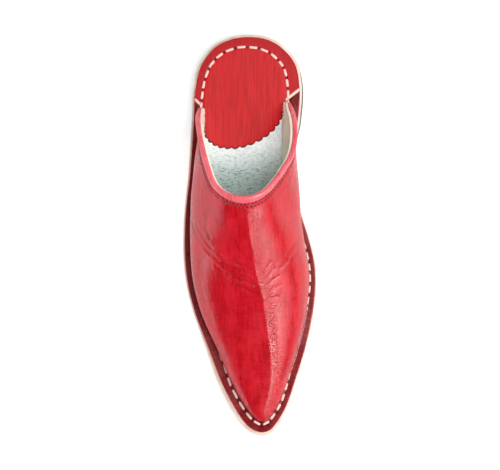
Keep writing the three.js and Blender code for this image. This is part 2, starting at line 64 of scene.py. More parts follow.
# station, lateral edge, medial edge
SOLE = [
    (0, 0.4, 0.4),
    (1.7, -13.5, 12.1),
    (8, -25.6, 23.1),
    (20, -34.8, 32.6),
    (37, -39.2, 35.6),
    (57, -40, 34.4),
    (76, -41, 31.8),
    (98, -42.5, 31),
    (120, -44.9, 35),
    (140, -45.8, 41.1),
    (158, -45.3, 45.2),
    (172, -43.5, 45.8),
    (189, -39.3, 44.2),
    (212, -31.3, 39.5),
    (238, -22.2, 31.7),
    (256, -13.2, 25.6),
    (267.5, -5.5, 19.5),
    (273, 1, 14.8),
    (LENGTH, 8, 8),
]


def smooth_step(start, end, at):
    share = np.clip((at - start) / (end - start), 0, 1)
    return share * share * (3 - 2 * share)


def sole_bottom(station):
    seat = LIFT_HEIGHT * (1 - smooth_step(HEEL_BREAST, TREAD[0], station))
    forward = np.maximum(0, station - TREAD[1]) / (LENGTH - TREAD[1])
    return seat + TOE_SPRING * forward**SPRING_POWER


def sole_top(station):
    return sole_bottom(station) + SOLE_THICKNESS + GAP


CURVE_STEPS = 110


def closed_curve(points):
    """A centripetal curve through the points and back to the first one"""
    points = np.array(points, float)
    before, after, beyond = np.roll(points, 1, 0), np.roll(points, -1, 0), np.roll(points, -2, 0)
    spans = [np.sqrt(np.linalg.norm(b - a, axis=1, keepdims=True))
             for a, b in ((before, points), (points, after), (after, beyond))]
    leave = ((points - before) / spans[0] - (after - before) / (spans[0] + spans[1])
             + (after - points) / spans[1]) * spans[1]
    reach = ((after - points) / spans[1] - (beyond - points) / (spans[1] + spans[2])
             + (beyond - after) / spans[2]) * spans[1]
    t = (np.arange(CURVE_STEPS) / CURVE_STEPS)[None, :, None]
    start, end, leave, reach = (a[:, None, :] for a in (points, after, leave, reach))
    curve = (start + leave * t + (3 * (end - start) - 2 * leave - reach) * t**2
             + (2 * (start - end) + leave + reach) * t**3)
    return np.vstack([curve.reshape(-1, 2), points[:1]])


lateral_side = [(lateral, station) for station, lateral, medial in SOLE[:-1]]
medial_side = [(medial, station) for station, lateral, medial in SOLE[:0:-1]]
edge = closed_curve(lateral_side + medial_side)
along = np.gradient(edge, axis=0)
along[[0, -1]] = edge[1] - edge[-2]
along /= np.linalg.norm(along, axis=1, keepdims=True)
edge_inward = np.column_stack([along[:, 1], -along[:, 0]])
edge_walk = np.concatenate([[0], np.cumsum(np.linalg.norm(np.diff(edge, axis=0), axis=1))])
edge_walk -= edge_walk[CURVE_STEPS * len(lateral_side)]
HEEL_WALK = (edge_walk[0], edge_walk[-1])


def at_walk(walk, values):
    return np.stack([np.interp(walk, edge_walk, values[:, axis]) for axis in (0, 1)], -1)


def edge_point(walk, inset):
    """Across and station of the point at a walk, moved in from the sole's edge"""
    return at_walk(walk, edge) + at_walk(walk, edge_inward) * np.asarray(inset)[..., None]


# The solids were centred on the origin, so the outline is centred in the outsole's box
sole_low, sole_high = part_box("outsole")
CENTRE = np.array([
    (sole_low.x + sole_high.x) * 500 - (edge[:, 0].min() + edge[:, 0].max()) / 2,
    (sole_low.y + sole_high.y) * 500 + (edge[:, 1].min() + edge[:, 1].max()) / 2,
])


# Points closer together than this, in metres, become one
SAME_POINT = 2e-6


def make_piece(name, vertices, faces, maps=None, sharp=50):
    """A mesh from points in the shoe's millimetres. Each map is a name and a pair per point."""
    vertices = np.asarray(vertices, float).reshape(-1, 3)
    places = np.column_stack([
        (vertices[:, 0] + CENTRE[0]) / 1000,
        (CENTRE[1] - vertices[:, 1]) / 1000,
        vertices[:, 2] / 1000,
    ])
    mesh = bpy.data.meshes.new(name)
    mesh.from_pydata(places.tolist(), [], [list(map(int, f)) for f in faces])
    corners = np.zeros(len(mesh.loops), int)
    mesh.loops.foreach_get("vertex_index", corners)
    for map_name, values in (maps or {}).items():
        layer = mesh.uv_layers.new(name=map_name)
        flat = np.asarray(values, float).reshape(-1, 2)[corners]
        layer.data.foreach_set("uv", flat.astype(np.float32).ravel())
    shaped = bmesh.new()
    shaped.from_mesh(mesh)
    bmesh.ops.remove_doubles(shaped, verts=shaped.verts, dist=SAME_POINT)
    bmesh.ops.dissolve_degenerate(shaped, edges=shaped.edges, dist=SAME_POINT / 2)
    loose = [v for v in shaped.verts if not v.link_faces]
    bmesh.ops.delete(shaped, geom=loose, context="VERTS")
    bmesh.ops.recalc_face_normals(shaped, faces=shaped.faces)
    shaped.to_mesh(mesh)
    shaped.free()
    mesh.shade_smooth()
    mesh.set_sharp_from_angle(angle=math.radians(sharp))
    piece = bpy.data.objects.new(name, mesh)
    bpy.context.scene.collection.objects.link(piece)
    return piece


def inside_outline(points, outline):
    """Which points are inside: a line across from such a point meets the outline an odd number of times"""
    x, y = points[:, 0, None], points[:, 1, None]
    ax, ay = outline[:, 0], outline[:, 1]
    bx, by = np.roll(ax, -1), np.roll(ay, -1)
    crosses = (ay > y) != (by > y)
    with np.errstate(divide="ignore", invalid="ignore"):
        where = ax + (y - ay) * (bx - ax) / (by - ay)
    return (np.sum(crosses & (x < where), axis=1) % 2) == 1


def nearest(points, line):
    """Which point of a line is nearest to each of these in plan, and how far away it is"""
    found = []
    for point in points[:, :2]:
        gaps = np.hypot(*(line - point).T)
        which = int(np.argmin(gaps))
        found.append((which, gaps[which]))
    which, away = np.array(found).T
    return which.astype(int), away


# Points inside an outline stay this share of their spacing away from it
CLEARANCE = 0.45


def fill_outline(outline, spacing):
    """Triangles over a flat outline, with a grid of points inside it so that it can curve"""
    low, high = outline.min(0), outline.max(0)
    grid = np.stack(np.meshgrid(
        np.arange(low[0], high[0], spacing), np.arange(low[1], high[1], spacing)), -1).reshape(-1, 2)
    grid = grid[inside_outline(grid, outline)]
    grid = grid[nearest(grid, outline)[1] > spacing * CLEARANCE]
    points = [tuple(p) for p in np.vstack([outline, grid])]
    borders = [(i, (i + 1) % len(outline)) for i in range(len(outline))]
    found = delaunay_2d_cdt(points, borders, [], 1, 1e-7)
    return np.array([tuple(p) for p in found[0]]), [list(f) for f in found[2]]


def ring_faces(rings, count):
    """Four-sided faces between rings of this many points"""
    first = np.arange(rings * count).reshape(rings, count)
    here, there = first[:-1], first[1:]
    return np.stack([here, np.roll(here, -1, 1), np.roll(there, -1, 1), there], -1).reshape(-1, 4).tolist()


def make_slab(name, rim, rounding, bottom, top, spacing, maps=None, sharp=50):
    """A flat piece. rim(inset, share) is its outline at a share of its thickness, and
    rounding lists those insets and shares from its lowest edge to its highest."""
    rings = []
    for inset, share in rounding:
        outline = rim(inset, share)
        low, high = bottom(outline), top(outline)
        rings.append(np.column_stack([outline, low + (high - low) * share]))
    points = [np.vstack(rings)]
    faces = ring_faces(len(rings), len(rings[0]))
    total = len(points[0])
    for ring, height in ((rings[0], bottom), (rings[-1], top)):
        flat, triangles = fill_outline(ring[:, :2], spacing)
        points.append(np.column_stack([flat, height(flat)]))
        faces += [[index + total for index in face] for face in triangles]
        total += len(flat)
    points = np.vstack(points)
    values = {key: value(points) for key, value in (maps or {}).items()}
    return make_piece(name, points, faces, values, sharp)


def paint(red, green, blue):
    """A colour as the shader wants it, from the usual 0 to 255"""
    shares = np.array([red, green, blue]) / 255
    linear = np.where(shares <= 0.04045, shares / 12.92, ((shares + 0.055) / 1.055) ** 2.4)
    return (*linear.tolist(), 1)


class Finish:
    """A material put together one node at a time. Its places are in millimetres."""

    def __init__(self, name, roughness, specular=0.5, **more):
        self.material = bpy.data.materials.new(name)
        self.material.use_nodes = True
        self.tree = self.material.node_tree
        self.shader = self.tree.nodes["Principled BSDF"]
        self.shader.inputs["Roughness"].default_value = roughness
        self.shader.inputs["Specular IOR Level"].default_value = specular
        for socket, value in more.items():
            self.shader.inputs[socket.replace("_", " ")].default_value = value
        self.object = self.add("TexCoord").outputs["Object"]
        self.heights = []

    def add(self, kind, inputs=None, **settings):
        node = self.tree.nodes.new("ShaderNode" + kind)
        for key, value in settings.items():
            setattr(node, key, value)
        for key, value in (inputs or {}).items():
            if isinstance(value, bpy.types.NodeSocket):
                self.tree.links.new(value, node.inputs[key])
            else:
                node.inputs[key].default_value = value
        return node

    def places(self, stretch=(1, 1, 1), turn=0):
        inputs = {"Vector": self.object, "Scale": [1000 * s for s in stretch], "Rotation": (0, 0, turn)}
        return self.add("Mapping", inputs).outputs["Vector"]

    def math(self, operation, first, second=0.0):
        return self.add("Math", {0: first, 1: second}, operation=operation).outputs[0]

    def times(self, first, second):
        return self.math("MULTIPLY", first, second)

    def absolute(self, value):
        return self.math("ABSOLUTE", value)

    def parts(self, vector):
        """The first two numbers of a vector"""
        return self.add("SeparateXYZ", {0: vector}).outputs[:2]

    def map(self, name):
        """The two numbers that one of the mesh's UV maps holds"""
        return self.parts(self.add("UVMap", uv_map=name).outputs[0])

    def ramp(self, value, start, end, low=0.0, high=1.0):
        inputs = {"Value": value, "From Min": start, "From Max": end, "To Min": low, "To Max": high}
        return self.add("MapRange", inputs, interpolation_type="SMOOTHSTEP").outputs["Result"]

    def noise(self, size, stretch=(1, 1, 1), detail=4.0, rough=0.55, turn=0):
        """Soft random blotches of about this size in millimetres"""
        inputs = {"Vector": self.places(stretch, turn), "Scale": 1 / size,
                  "Detail": detail, "Roughness": rough}
        return self.add("TexNoise", inputs).outputs["Fac"]

    def pebbles(self, size, stretch=(1, 1, 1)):
        inputs = {"Vector": self.places(stretch), "Scale": 1 / size}
        return self.add("TexVoronoi", inputs).outputs["Distance"]

    def mix(self, share, first, second):
        return self.add("Mix", {0: share, 6: first, 7: second}, data_type="RGBA").outputs[2]

    def bump(self, height, distance):
        """Adds relief of this many millimetres"""
        self.heights.append((height, distance))

    def finish(self, colour, roughness=None):
        self.tree.links.new(colour, self.shader.inputs["Base Color"])
        if roughness is not None:
            self.tree.links.new(roughness, self.shader.inputs["Roughness"])
        normal = None
        for height, distance in self.heights:
            inputs = {"Height": height, "Distance": distance / 1000, "Strength": 1.0}
            if normal is not None:
                inputs["Normal"] = normal
            normal = self.add("Bump", inputs).outputs["Normal"]
        if normal is not None:
            self.tree.links.new(normal, self.shader.inputs["Normal"])
        return self.material


def sole_rim(inset, share):
    turns = (1 - np.cos(np.pi * np.arange(0, 201) / 200)) / 2
    lateral = HEEL_WALK[0] * turns[::-1]
    medial = HEEL_WALK[1] * turns[1:-1]
    return edge_point(np.concatenate([lateral, medial]), inset)


def bare_leather(name, pale, deep, roughness):
    finish = Finish(name, roughness, 0.35)
    clouds = finish.ramp(finish.noise(9), 0.35, 0.68)
    fibres = finish.ramp(finish.noise(0.35, (1, 1, 5), 5), 0.3, 0.75)
    colour = finish.mix(clouds, pale, deep)
    colour = finish.mix(finish.times(fibres, 0.35), colour, deep)
    finish.bump(finish.noise(0.3, (1, 1, 4), 5), 0.05)
    finish.bump(finish.noise(3), 0.08)
    return finish.finish(colour, finish.ramp(clouds, 0, 1, roughness, roughness + 0.12))


outsole = make_slab(
    "outsole_leather", sole_rim,
    [(1.0, 0), (0.35, 0.06), (0.06, 0.2), (0, 0.45), (0.02, 0.8), (0.15, 0.94), (0.5, 1)],
    lambda p: sole_bottom(p[:, 1]), lambda p: sole_top(p[:, 1]), 3.0,
)
outsole.data.materials.append(
    bare_leather("bare sole leather", paint(238, 222, 206), paint(228, 196, 176), 0.55))
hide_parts("outsole")
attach(outsole, "root")


# ---- Heel lift -----------------------------------------------------------------------
# A low block of dark rubber glued under the heel seat. It keeps just inside the sole,
# except at its front on the medial side, where it flares out a little.

LIFT_INSET = 0.4
LIFT_FLARE = {"lateral": 0.2, "medial": 1.7}


def walk_at_station(side, station):
    walks = np.linspace(0, HEEL_WALK[side], 3000)
    stations = edge_point(walks, 0)[:, 1]
    return np.interp(-station, -stations, walks)


def lift_rim(inset, share):
    steps = np.sin(np.pi * np.arange(0, 71) / 140)
    sides = []
    for side, key in ((0, "lateral"), (1, "medial")):
        start = walk_at_station(side, HEEL_BREAST)
        walks = start + (HEEL_WALK[side] - start) * steps
        flare = LIFT_FLARE[key] * (1 - smooth_step(0.3, 0.75, steps)) * smooth_step(-0.1, 0.12, steps)
        sides.append(edge_point(walks, LIFT_INSET + inset - flare * (1 - share)))
    front = np.linspace(sides[1][0], sides[0][0], 24)[1:-1]
    outline = np.vstack([sides[0], sides[1][-2::-1], front])
    outline[:, 1] = np.minimum(outline[:, 1], HEEL_BREAST - inset)
    return outline


lift = make_slab(
    "heel_lift_rubber", lift_rim,
    [(0.9, 0), (0.25, 0.05), (0, 0.16), (0, 0.5), (0, 1)],
    lambda p: np.zeros(len(p)), lambda p: np.full(len(p), LIFT_HEIGHT, float), 3.0,
)
rubber = Finish("dark heel rubber", 0.62, 0.4)
scuffs = rubber.ramp(rubber.noise(2.5, detail=8), 0.5, 0.72)
rubber.bump(rubber.noise(0.5), 0.06)
rubber.bump(rubber.pebbles(1.6), 0.08)
lift.data.materials.append(rubber.finish(
    rubber.mix(scuffs, paint(74, 66, 60), paint(112, 102, 92)), rubber.ramp(scuffs, 0, 1, 0.5, 0.75)))
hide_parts("heel_lift")
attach(lift, "root")


# ---- Insole --------------------------------------------------------------------------
# Thin leather with its flesh side up, a grey-green nap. In front it lies inside the
# upper's wall; under the heel it runs out to the sole's rim, below the heel sock.

# What lies on the sole stands this far off it
GLUE_LINE = 0.02
TURNED_EDGE_THICKNESS = 1.8
INSOLE_THICKNESS = 1.8
WALL = {"leather": 1.2, "lining": 1.5}

# walk, inset of the turned edge's cut (rim), inset of the wall's foot, swell of the wall
SEAM = [
    (-300, 1.6, 8.4, 1),
    (-245, 1.6, 6.8, 0.8),
    (-226, 1.4, 6.4, 2.4),
    (-206, 1.2, 6.4, 6.2),
    (-185, 1, 6.4, 5.7),
    (-168, 1, 6.3, 4.2),
    (-143, 1, 6.2, 2.9),
    (-118, 1, 6.3, 2.8),
    (-92, 1.1, 6.9, 2.7),
    (-58, 2.2, 8.4, 0.8),
    (-31, 2.5, 8.9, 0.3),
    (0, 2.2, 9.7, 0.2),
    (28, 1.1, 7, 0.3),
    (55, 0.8, 6.4, 0.8),
    (88, 0.8, 6, 1.1),
    (121, 0.8, 5.7, 1.1),
    (138, 0.8, 5.8, 2),
    (156, 0.8, 5.9, 5.2),
    (173, 0.8, 5.6, 8.4),
    (190, 0.8, 5.9, 9.8),
    (206, 0.9, 7, 7.5),
    (223, 1.1, 9, 3.5),
    (242, 1.3, 9.8, 1.2),
    (300, 1.6, 10, 1),
]
RIM, FOOT, SWELL = 1, 2, 3

# Where the heel sock ends at the sole's rim, and the point where each wing ends
SOCK_END = {"lateral": -246, "medial": 249.5}
APEX = {"lateral": (-34.6, 49.2), "medial": (26.4, 45)}


def read_table(rows, at, column):
    """A smooth curve through one column of a table, read by the first column"""
    rows = np.array(rows, float)
    x, y = rows[:, 0], rows[:, column]
    slope = np.diff(y) / np.diff(x)
    weight = np.diff(x)[1:] / (x[2:] - x[:-2])
    tangent = np.concatenate([slope[:1], slope[:-1] * weight + slope[1:] * (1 - weight), slope[-1:]])
    at = np.clip(at, x[0], x[-1])
    i = np.clip(np.searchsorted(x, at, side="left") - 1, 0, len(x) - 2)
    span, rise = x[i + 1] - x[i], y[i + 1] - y[i]
    t = (at - x[i]) / span
    a, b = span * tangent[i] - rise, rise - span * tangent[i + 1]
    return y[i] + t * rise + t * (1 - t) * (a * (1 - t) + b * t)


def seam(walk, column):
    return read_table(SEAM, walk, column)


# The insole and the sock stay this far inside the line of the turned edge's cut
RIM_MARGIN = 0.2


def insole_rim(inset, share):
    walks = np.linspace(HEEL_WALK[0], HEEL_WALK[1], 460)[:-1]
    far = np.where(walks < 0, -walks + SOCK_END["lateral"], walks - SOCK_END["medial"])
    at_rim = smooth_step(-8, 4, far)
    inside_wall = seam(walks, FOOT) + WALL["leather"] + WALL["lining"] * 0.6
    return edge_point(walks, inset + inside_wall * (1 - at_rim) + (seam(walks, RIM) + RIM_MARGIN) * at_rim)


insole = make_slab(
    "insole_suede", insole_rim,
    [(0.3, 0), (0, 0.2), (0, 0.8), (0.3, 1)],
    lambda p: sole_top(p[:, 1]) + GLUE_LINE,
    lambda p: sole_top(p[:, 1]) + INSOLE_THICKNESS, 2.0,
)
nap = Finish("pale suede", 0.95, 0.15, Sheen_Weight=0.25, Sheen_Roughness=0.6)
brushed = nap.ramp(nap.noise(1.5, (1, 0.7, 1), 8, 0.7), 0.36, 0.66)
nap.bump(nap.noise(0.45, detail=6, rough=0.7), 0.25)
nap.bump(nap.noise(1.6, detail=3), 0.35)
# It is painted greyer and greener towards the toe as painted shade inside the vamp, and more flecked there,
# and it is smooth and cream under the heel sock, where only its cut edge shows
along_shoe = nap.parts(nap.object)[1]
toe_half = nap.ramp(along_shoe, 0.066, 0.034)
colour = nap.mix(brushed, paint(232, 242, 242), paint(255, 255, 255))
# Painted shade: greyer and greener towards the toe, where the vamp shades the insole
colour = nap.mix(nap.times(toe_half, 0.62), colour, paint(138, 176, 172))
under_sock = nap.ramp(along_shoe, 0.08, 0.088)
colour = nap.mix(under_sock, colour, paint(238, 222, 206))
flecks = nap.ramp(nap.noise(1.3, (0.45, 1.5, 1), 6, 0.75, turn=0.2), 0.52, 0.6)
flecked = nap.times(flecks, nap.math("ADD", nap.times(toe_half, 0.65), 0.2))
insole.data.materials.append(nap.finish(nap.mix(flecked, colour, paint(74, 110, 104))))
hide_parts("insole")
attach(insole, "root")


# ---- Upper ---------------------------------------------------------------------------
# One piece of soft red leather, drawn over a pointed last. Its lower edge is turned out
# flat on the sole to be stitched down, and its wings run back to points beside the heel.
# A fold runs down the middle, because such slippers are kept flat, and the vamp is creased.

BEND_RADIUS = 1.4

# station, crest's place across, height above the turned edge, power of the rounded arch
LAST = [
    (30, -4, 70, 2.6),
    (60, -4, 70, 2.58),
    (80, -4, 68, 2.5),
    (100, -3.5, 62, 2.35),
    (116, -2.5, 55.5, 2.2),
    (140, 1, 46.5, 2.2),
    (165, 4, 36.5, 2.25),
    (190, 9, 27.5, 2.3),
    (215, 13.5, 20, 2.3),
    (240, 14, 15, 2.2),
    (258, 10.5, 12.5, 2.1),
    (LENGTH, 8, 12, 2),
]
TOE_ROUNDING = {"start": 226, "power": 2.3}
SWELL_HEIGHT = 0.32
RIB_CURVE = 2.2
# The wall's thickness is measured level where the wall is lower than this, and near its foot
LEVEL_WALL = 24
UPRIGHT_FOOT = 0.12

# walk of the rib's foot, then the collar's station, across, and angle on the last
COLLAR = [
    (-240.3, 50.2, -34.8, -89),
    (-235.5, 55, -36.1, -85.4),
    (-224.5, 66, -35.2, -76.2),
    (-209.5, 80, -32, -64.6),
    (-194, 91, -28.8, -54.4),
    (-183.5, 96.3, -27, -48.6),
    (-169, 101.2, -24.8, -42),
    (-144, 105.5, -21.2, -33.4),
    (-110, 108.8, -16.2, -24),
    (-56, 111.1, -10.2, -13.3),
    (0, 111.8, -3.9, -3),
    (52, 110.8, 2.1, 7.8),
    (100, 108.4, 7.6, 18.5),
    (132, 105.3, 12.1, 28.7),
    (155, 101.5, 16, 38.5),
    (169, 97.6, 19.5, 44.4),
    (181, 93, 22.6, 50),
    (199, 83, 28, 60.6),
    (213, 73, 30.8, 68.6),
    (223, 64, 31.4, 75.5),
    (232, 55.2, 30.4, 82.6),
    (240.5, 46.8, 27.4, 89),
]
WING_ENDS = (COLLAR[0][0], COLLAR[-1][0])


def turned_edge_top(station):
    return sole_top(station) + TURNED_EDGE_THICKNESS


def foot_line(side):
    """The wall's foot on one side, from the heel to the toe"""
    walks = side * np.arange(0, 291)
    return edge_point(walks, seam(walks, FOOT))[::-1]


lateral_foot, medial_foot = foot_line(-1), foot_line(1)
toe_foot = medial_foot[-1]


def foot_across(on_medial, station):
    lateral = np.interp(station, lateral_foot[:, 1], lateral_foot[:, 0])
    medial = np.interp(station, medial_foot[:, 1], medial_foot[:, 0])
    return np.where(on_medial, medial, lateral)


def last_section(station):
    """The last's crest, height and power at a station"""
    start, power = TOE_ROUNDING["start"], TOE_ROUNDING["power"]
    reach = np.clip((station - start) / (toe_foot[1] - start), 0, 1)
    closing = (1 - reach**power) ** (1 / power)
    settle = smooth_step(start, toe_foot[1], station)
    crest = read_table(LAST, station, 1)
    height, roundness = (read_table(LAST, station, column) for column in (2, 3))
    return crest + (toe_foot[0] - crest) * settle, height * closing, roundness


def make_ribs(walk):
    """Ribs run from the wall's foot to the collar, one at each walk"""
    walk = np.asarray(walk, float)[:, None]
    foot = edge_point(walk, seam(walk, FOOT))
    outward = -at_walk(walk, edge_inward)
    station, across, angle = (read_table(COLLAR, walk, column) for column in (1, 2, 3))
    angle = np.radians(angle)
    crest, height, power = last_section(station)
    half = np.abs(foot_across(angle >= 0, station) - crest)
    top = crest + np.sign(angle) * half * np.abs(np.sin(angle)) ** (2 / power)
    ribs = {"foot": foot, "outward": outward, "top": top, "station": station,
            "height": height * np.cos(angle) ** (2 / power), "swell": seam(walk, SWELL), "lean": 0}
    ribs["lean"] = across - rib_points(ribs, np.ones_like(walk))[..., 0]
    return ribs


def rib_points(ribs, u):
    """Points of the ribs, from u = 0 at the wall's foot to u = 1 at the collar"""
    g = u**RIB_CURVE
    station = ribs["foot"][..., 1] + (ribs["station"] - ribs["foot"][..., 1]) * g
    across = ribs["foot"][..., 0] + (ribs["top"] - ribs["foot"][..., 0]) * g
    crest, height, power = last_section(station)
    half = np.maximum(np.abs(foot_across(across >= crest, station) - crest), 1e-6)
    q = np.clip(np.abs(across - crest) / half, 0, 1)
    arch = height * (1 - q**power) ** (1 / power)
    share = np.minimum(arch / np.maximum(height, 1e-6), 1)
    from_belly = share - SWELL_HEIGHT
    turn = np.where(from_belly < 0, from_belly / SWELL_HEIGHT, from_belly / (1 - SWELL_HEIGHT))
    swell = ribs["swell"] * np.cos(np.pi / 2 * turn)
    lean = ribs["lean"] * np.minimum(arch / ribs["height"], 1)
    return np.stack([
        across + ribs["outward"][..., 0] * swell + lean,
        station + ribs["outward"][..., 1] * swell,
        turned_edge_top(station) + arch + BEND_RADIUS * (1 - share),
    ], -1)


# The lowest u at which a rib has a direction, and the step over which it is measured
FOOT_U = 0.004


def wall_surface(walks, u):
    """Points of the wall's outer face, with its outward normals"""
    u = np.maximum(u, FOOT_U)
    ribs = make_ribs(walks)
    before = make_ribs(np.maximum(walks - 1, WING_ENDS[0]))
    after = make_ribs(np.minimum(walks + 1, WING_ENDS[1]))
    ahead = np.minimum(u + FOOT_U / 2, 1)
    up = rib_points(ribs, ahead) - rib_points(ribs, ahead - FOOT_U)
    normal = np.cross(up, rib_points(after, u) - rib_points(before, u))
    normal /= np.maximum(np.linalg.norm(normal, axis=-1, keepdims=True), 1e-9)
    level = np.concatenate([ribs["outward"], np.zeros_like(ribs["outward"][..., :1])], -1)
    share = np.maximum(np.maximum(0, 1 - ribs["height"] / LEVEL_WALL), 1 - u / UPRIGHT_FOOT)[..., None]
    normal = normal * (1 - share) + level * share
    return rib_points(ribs, u), normal / np.linalg.norm(normal, axis=-1, keepdims=True)


def rib_reach(walks):
    """The millimetres of wall that one unit of u covers at the collar"""
    ends = np.ones((len(walks), 1))
    step = 0.02
    ribs = make_ribs(walks)
    return np.linalg.norm(rib_points(ribs, ends) - rib_points(ribs, ends * (1 - step)), axis=-1) / step


CROWDING = 0.6


def rib_walks(count):
    """Where the ribs stand: closest together at the toe and at the ends of the wings"""
    t = np.linspace(-1, 1, count + 1)
    spread = t - CROWDING * np.sin(2 * np.pi * t) / (2 * np.pi)
    return np.where(spread < 0, -spread * WING_ENDS[0], spread * WING_ENDS[1])


def loft(name, sections, maps=None):
    """A closed body through sections, each a closed loop of the same number of points"""
    rows, count = sections.shape[:2]
    ends = [list(range(count)), list(range((rows - 1) * count, rows * count))]
    return make_piece(name, sections, ring_faces(rows, count) + ends, maps)


# The fold down the middle of the vamp: station, then its place across
FOLD = [(108, -2.4), (120, -1.6), (131, -0.8), (141, 0.5), (151, 2.6), (162, 4), (172, 6.6), (182, 9),
        (196, 11), (207, 12.6), (218, 14), (230, 14.8), (239, 14.2), (249, 12.2), (258, 10.4), (LENGTH, 8)]
FOLD_HEIGHT = 1.9
FOLD_WIDTH = 8
FOLD_BLUNTNESS = 0.4
# The fold rises behind the collar, and sinks by this share before the toe
FOLD_RISES = (104, 122)
FOLD_SINKS = (238, 262)
FOLD_LOSS = 0.6

# Creases where the foot bends: each has its depth, then its chain (across, station)
CREASES = [
    (0.5, [(-21.1, 151.1), (-16.5, 154), (-11.7, 156.3), (-6.6, 158), (-1.9, 159.3), (2.6, 161.8)]),
    (0.3, [(-18.5, 155.8), (-12.5, 159.4), (-6, 162.2), (0, 163.9), (4.4, 166.6)]),
    (0.5, [(-23, 158.5), (-17.5, 163), (-11.7, 166.4), (-6, 168.8), (-0.6, 170.2), (4.5, 172.5)]),
    (0.25, [(-14, 161.5), (-8.5, 164.9), (-2.5, 166.6), (3, 169.6)]),
    (0.25, [(-21, 163.5), (-15.2, 168.6), (-9, 172.4), (-2, 174.6), (3.6, 177)]),
    (0.2, [(-29, 147), (-25, 151.5), (-21.1, 155.6), (-17, 159.5)]),
    (0.06, [(6.6, 166.2), (8.4, 163.1), (11.5, 159.2), (15, 155.4)]),
    (0.07, [(7.2, 170.2), (9.8, 167.3), (13.4, 163.4), (17.6, 159.8)]),
    (0.06, [(8.4, 173.6), (11.6, 171.2), (15.6, 168), (20.3, 164.9)]),
    (0.06, [(9.2, 177.8), (12.8, 175.6), (17, 173.2), (21.8, 171.4)]),
    (0.05, [(10, 182), (13.6, 180.4), (17.6, 179.2), (21.5, 178.8)]),
    (0.28, [(-39.6, 128), (-38, 134.8), (-34.6, 141.6), (-31, 146.5), (-27, 151)]),
    (0.28, [(-36.9, 130.3), (-33.9, 136.5), (-30.2, 142.2), (-26, 147)]),
    (0.15, [(-34, 128), (-30.6, 134), (-27, 140)]),
    (0.15, [(33, 140), (29.5, 145), (24, 151.5)]),
    (0.15, [(31, 150), (26, 156), (20, 160.5)]),
]
CREASE_WIDTH = 0.9
# The leather that a crease pushes up beside it, as shares of the crease's depth and width
SHOULDER = {"height": 0.3, "away": 2.2, "width": 1.2}
WAVE_HEIGHT = 0.1
WAVES_START = (14, 24)


def distance_to_chain(points, chain):
    """How far each point is from a chain of straight lines, in plan"""
    best = np.full(points.shape[:-1], 1e9)
    for start, end in zip(chain[:-1], chain[1:]):
        start, way = np.array(start), np.subtract(end, start)
        share = np.clip(((points - start) @ way) / (way @ way), 0, 1)
        best = np.minimum(best, np.linalg.norm(points - start - share[..., None] * way, axis=-1))
    return best


def relief(points):
    """How far the leather stands out from the last, in millimetres"""
    across, station = points[..., 0], points[..., 1]
    from_fold = np.abs(across - read_table(FOLD, station, 1))
    on_vamp = smooth_step(*FOLD_RISES, station) * (1 - FOLD_LOSS * smooth_step(*FOLD_SINKS, station))
    out = FOLD_HEIGHT * np.exp(-np.sqrt(from_fold**2 + FOLD_BLUNTNESS) / FOLD_WIDTH) * on_vamp
    for depth, chain in CREASES:
        away = distance_to_chain(points[..., :2], chain)
        out = out - depth * np.exp(-((away / CREASE_WIDTH) ** 2))
        from_shoulder = (away - SHOULDER["away"] * CREASE_WIDTH) / (SHOULDER["width"] * CREASE_WIDTH)
        out = out + SHOULDER["height"] * depth * np.exp(-(from_shoulder**2))
    waves = (np.sin(across * 0.31 + 1.7) * np.sin(station * 0.13 + 0.4)
             + 0.6 * np.sin(across * 0.17 - station * 0.21))
    return out + WAVE_HEIGHT * waves * smooth_step(*WAVES_START, points[..., 2])


# The running stitch through the turned edge and the sock: walk, its inset, its pitch
STITCH_LINE = [
    (-316, 8.5, 8.3),
    (-290, 7.9, 8),
    (-270, 7.3, 7.7),
    (-245, 6.5, 7.3),
    (-226, 5.9, 7.5),
    (-185, 5.8, 7.7),
    (-143, 5.7, 7.7),
    (-118, 5.8, 8),
    (-92, 6.9, 8.8),
    (-75, 7.9, 9.2),
    (-58, 8.2, 9.3),
    (-50, 7.9, 9.3),
    (-42, 7.3, 9.3),
    (-31, 7.1, 9.2),
    (-12, 7.4, 7.4),
    (0, 7.4, 6.7),
    (14, 6.4, 7),
    (28, 5.4, 7.5),
    (42, 5.6, 7.6),
    (58, 6.8, 7.6),
    (88, 6.6, 7.6),
    (102, 5.6, 7.6),
    (121, 4.8, 7.6),
    (138, 4.8, 7.6),
    (173, 5, 7.6),
    (190, 5, 7.6),
    (206, 5.8, 7.6),
    (223, 7.6, 7.4),
    (242, 9.2, 7.2),
    (262, 9.8, 7.4),
    (275, 9.7, 6.6),
    (288, 9.5, 7.6),
    (309, 8.5, 8.3),
]
stitch_walks = np.linspace(HEEL_WALK[0], HEEL_WALK[1], 2400)
stitch_path = edge_point(stitch_walks, read_table(STITCH_LINE, stitch_walks, 1))
stitch_steps = np.linalg.norm(np.diff(stitch_path, axis=0), axis=1)
stitch_run = np.concatenate([[0], np.cumsum(stitch_steps / read_table(STITCH_LINE, stitch_walks[1:], 2))])
stitch_run -= np.interp(0, stitch_walks, stitch_run)
stitch_count = round(stitch_run[-1] - stitch_run[0])
stitch_run *= stitch_count / (stitch_run[-1] - stitch_run[0])

UPPER_RIBS = 400
WALL_ROWS = 150
TAPER_HEIGHT = 9
walks = rib_walks(UPPER_RIBS)
reach = rib_reach(walks)
ribs = make_ribs(walks)

# The turned edge is swept back behind each wing, to go under the heel sock
SWEEP, UNDERLAP = 20, 3
wing = np.where(walks < 0, -WING_ENDS[0], WING_ENDS[1])
sock_end = np.where(walks < 0, -SOCK_END["lateral"], SOCK_END["medial"])
near_end = np.maximum(0, np.abs(walks) - wing + SWEEP) / SWEEP
cut_walks = walks + np.sign(walks) * (sock_end + UNDERLAP - wing) * near_end
cut = edge_point(cut_walks, seam(cut_walks, RIM))
bend_start = ribs["foot"][:, 0] + ribs["outward"][:, 0] * BEND_RADIUS
ledge = []
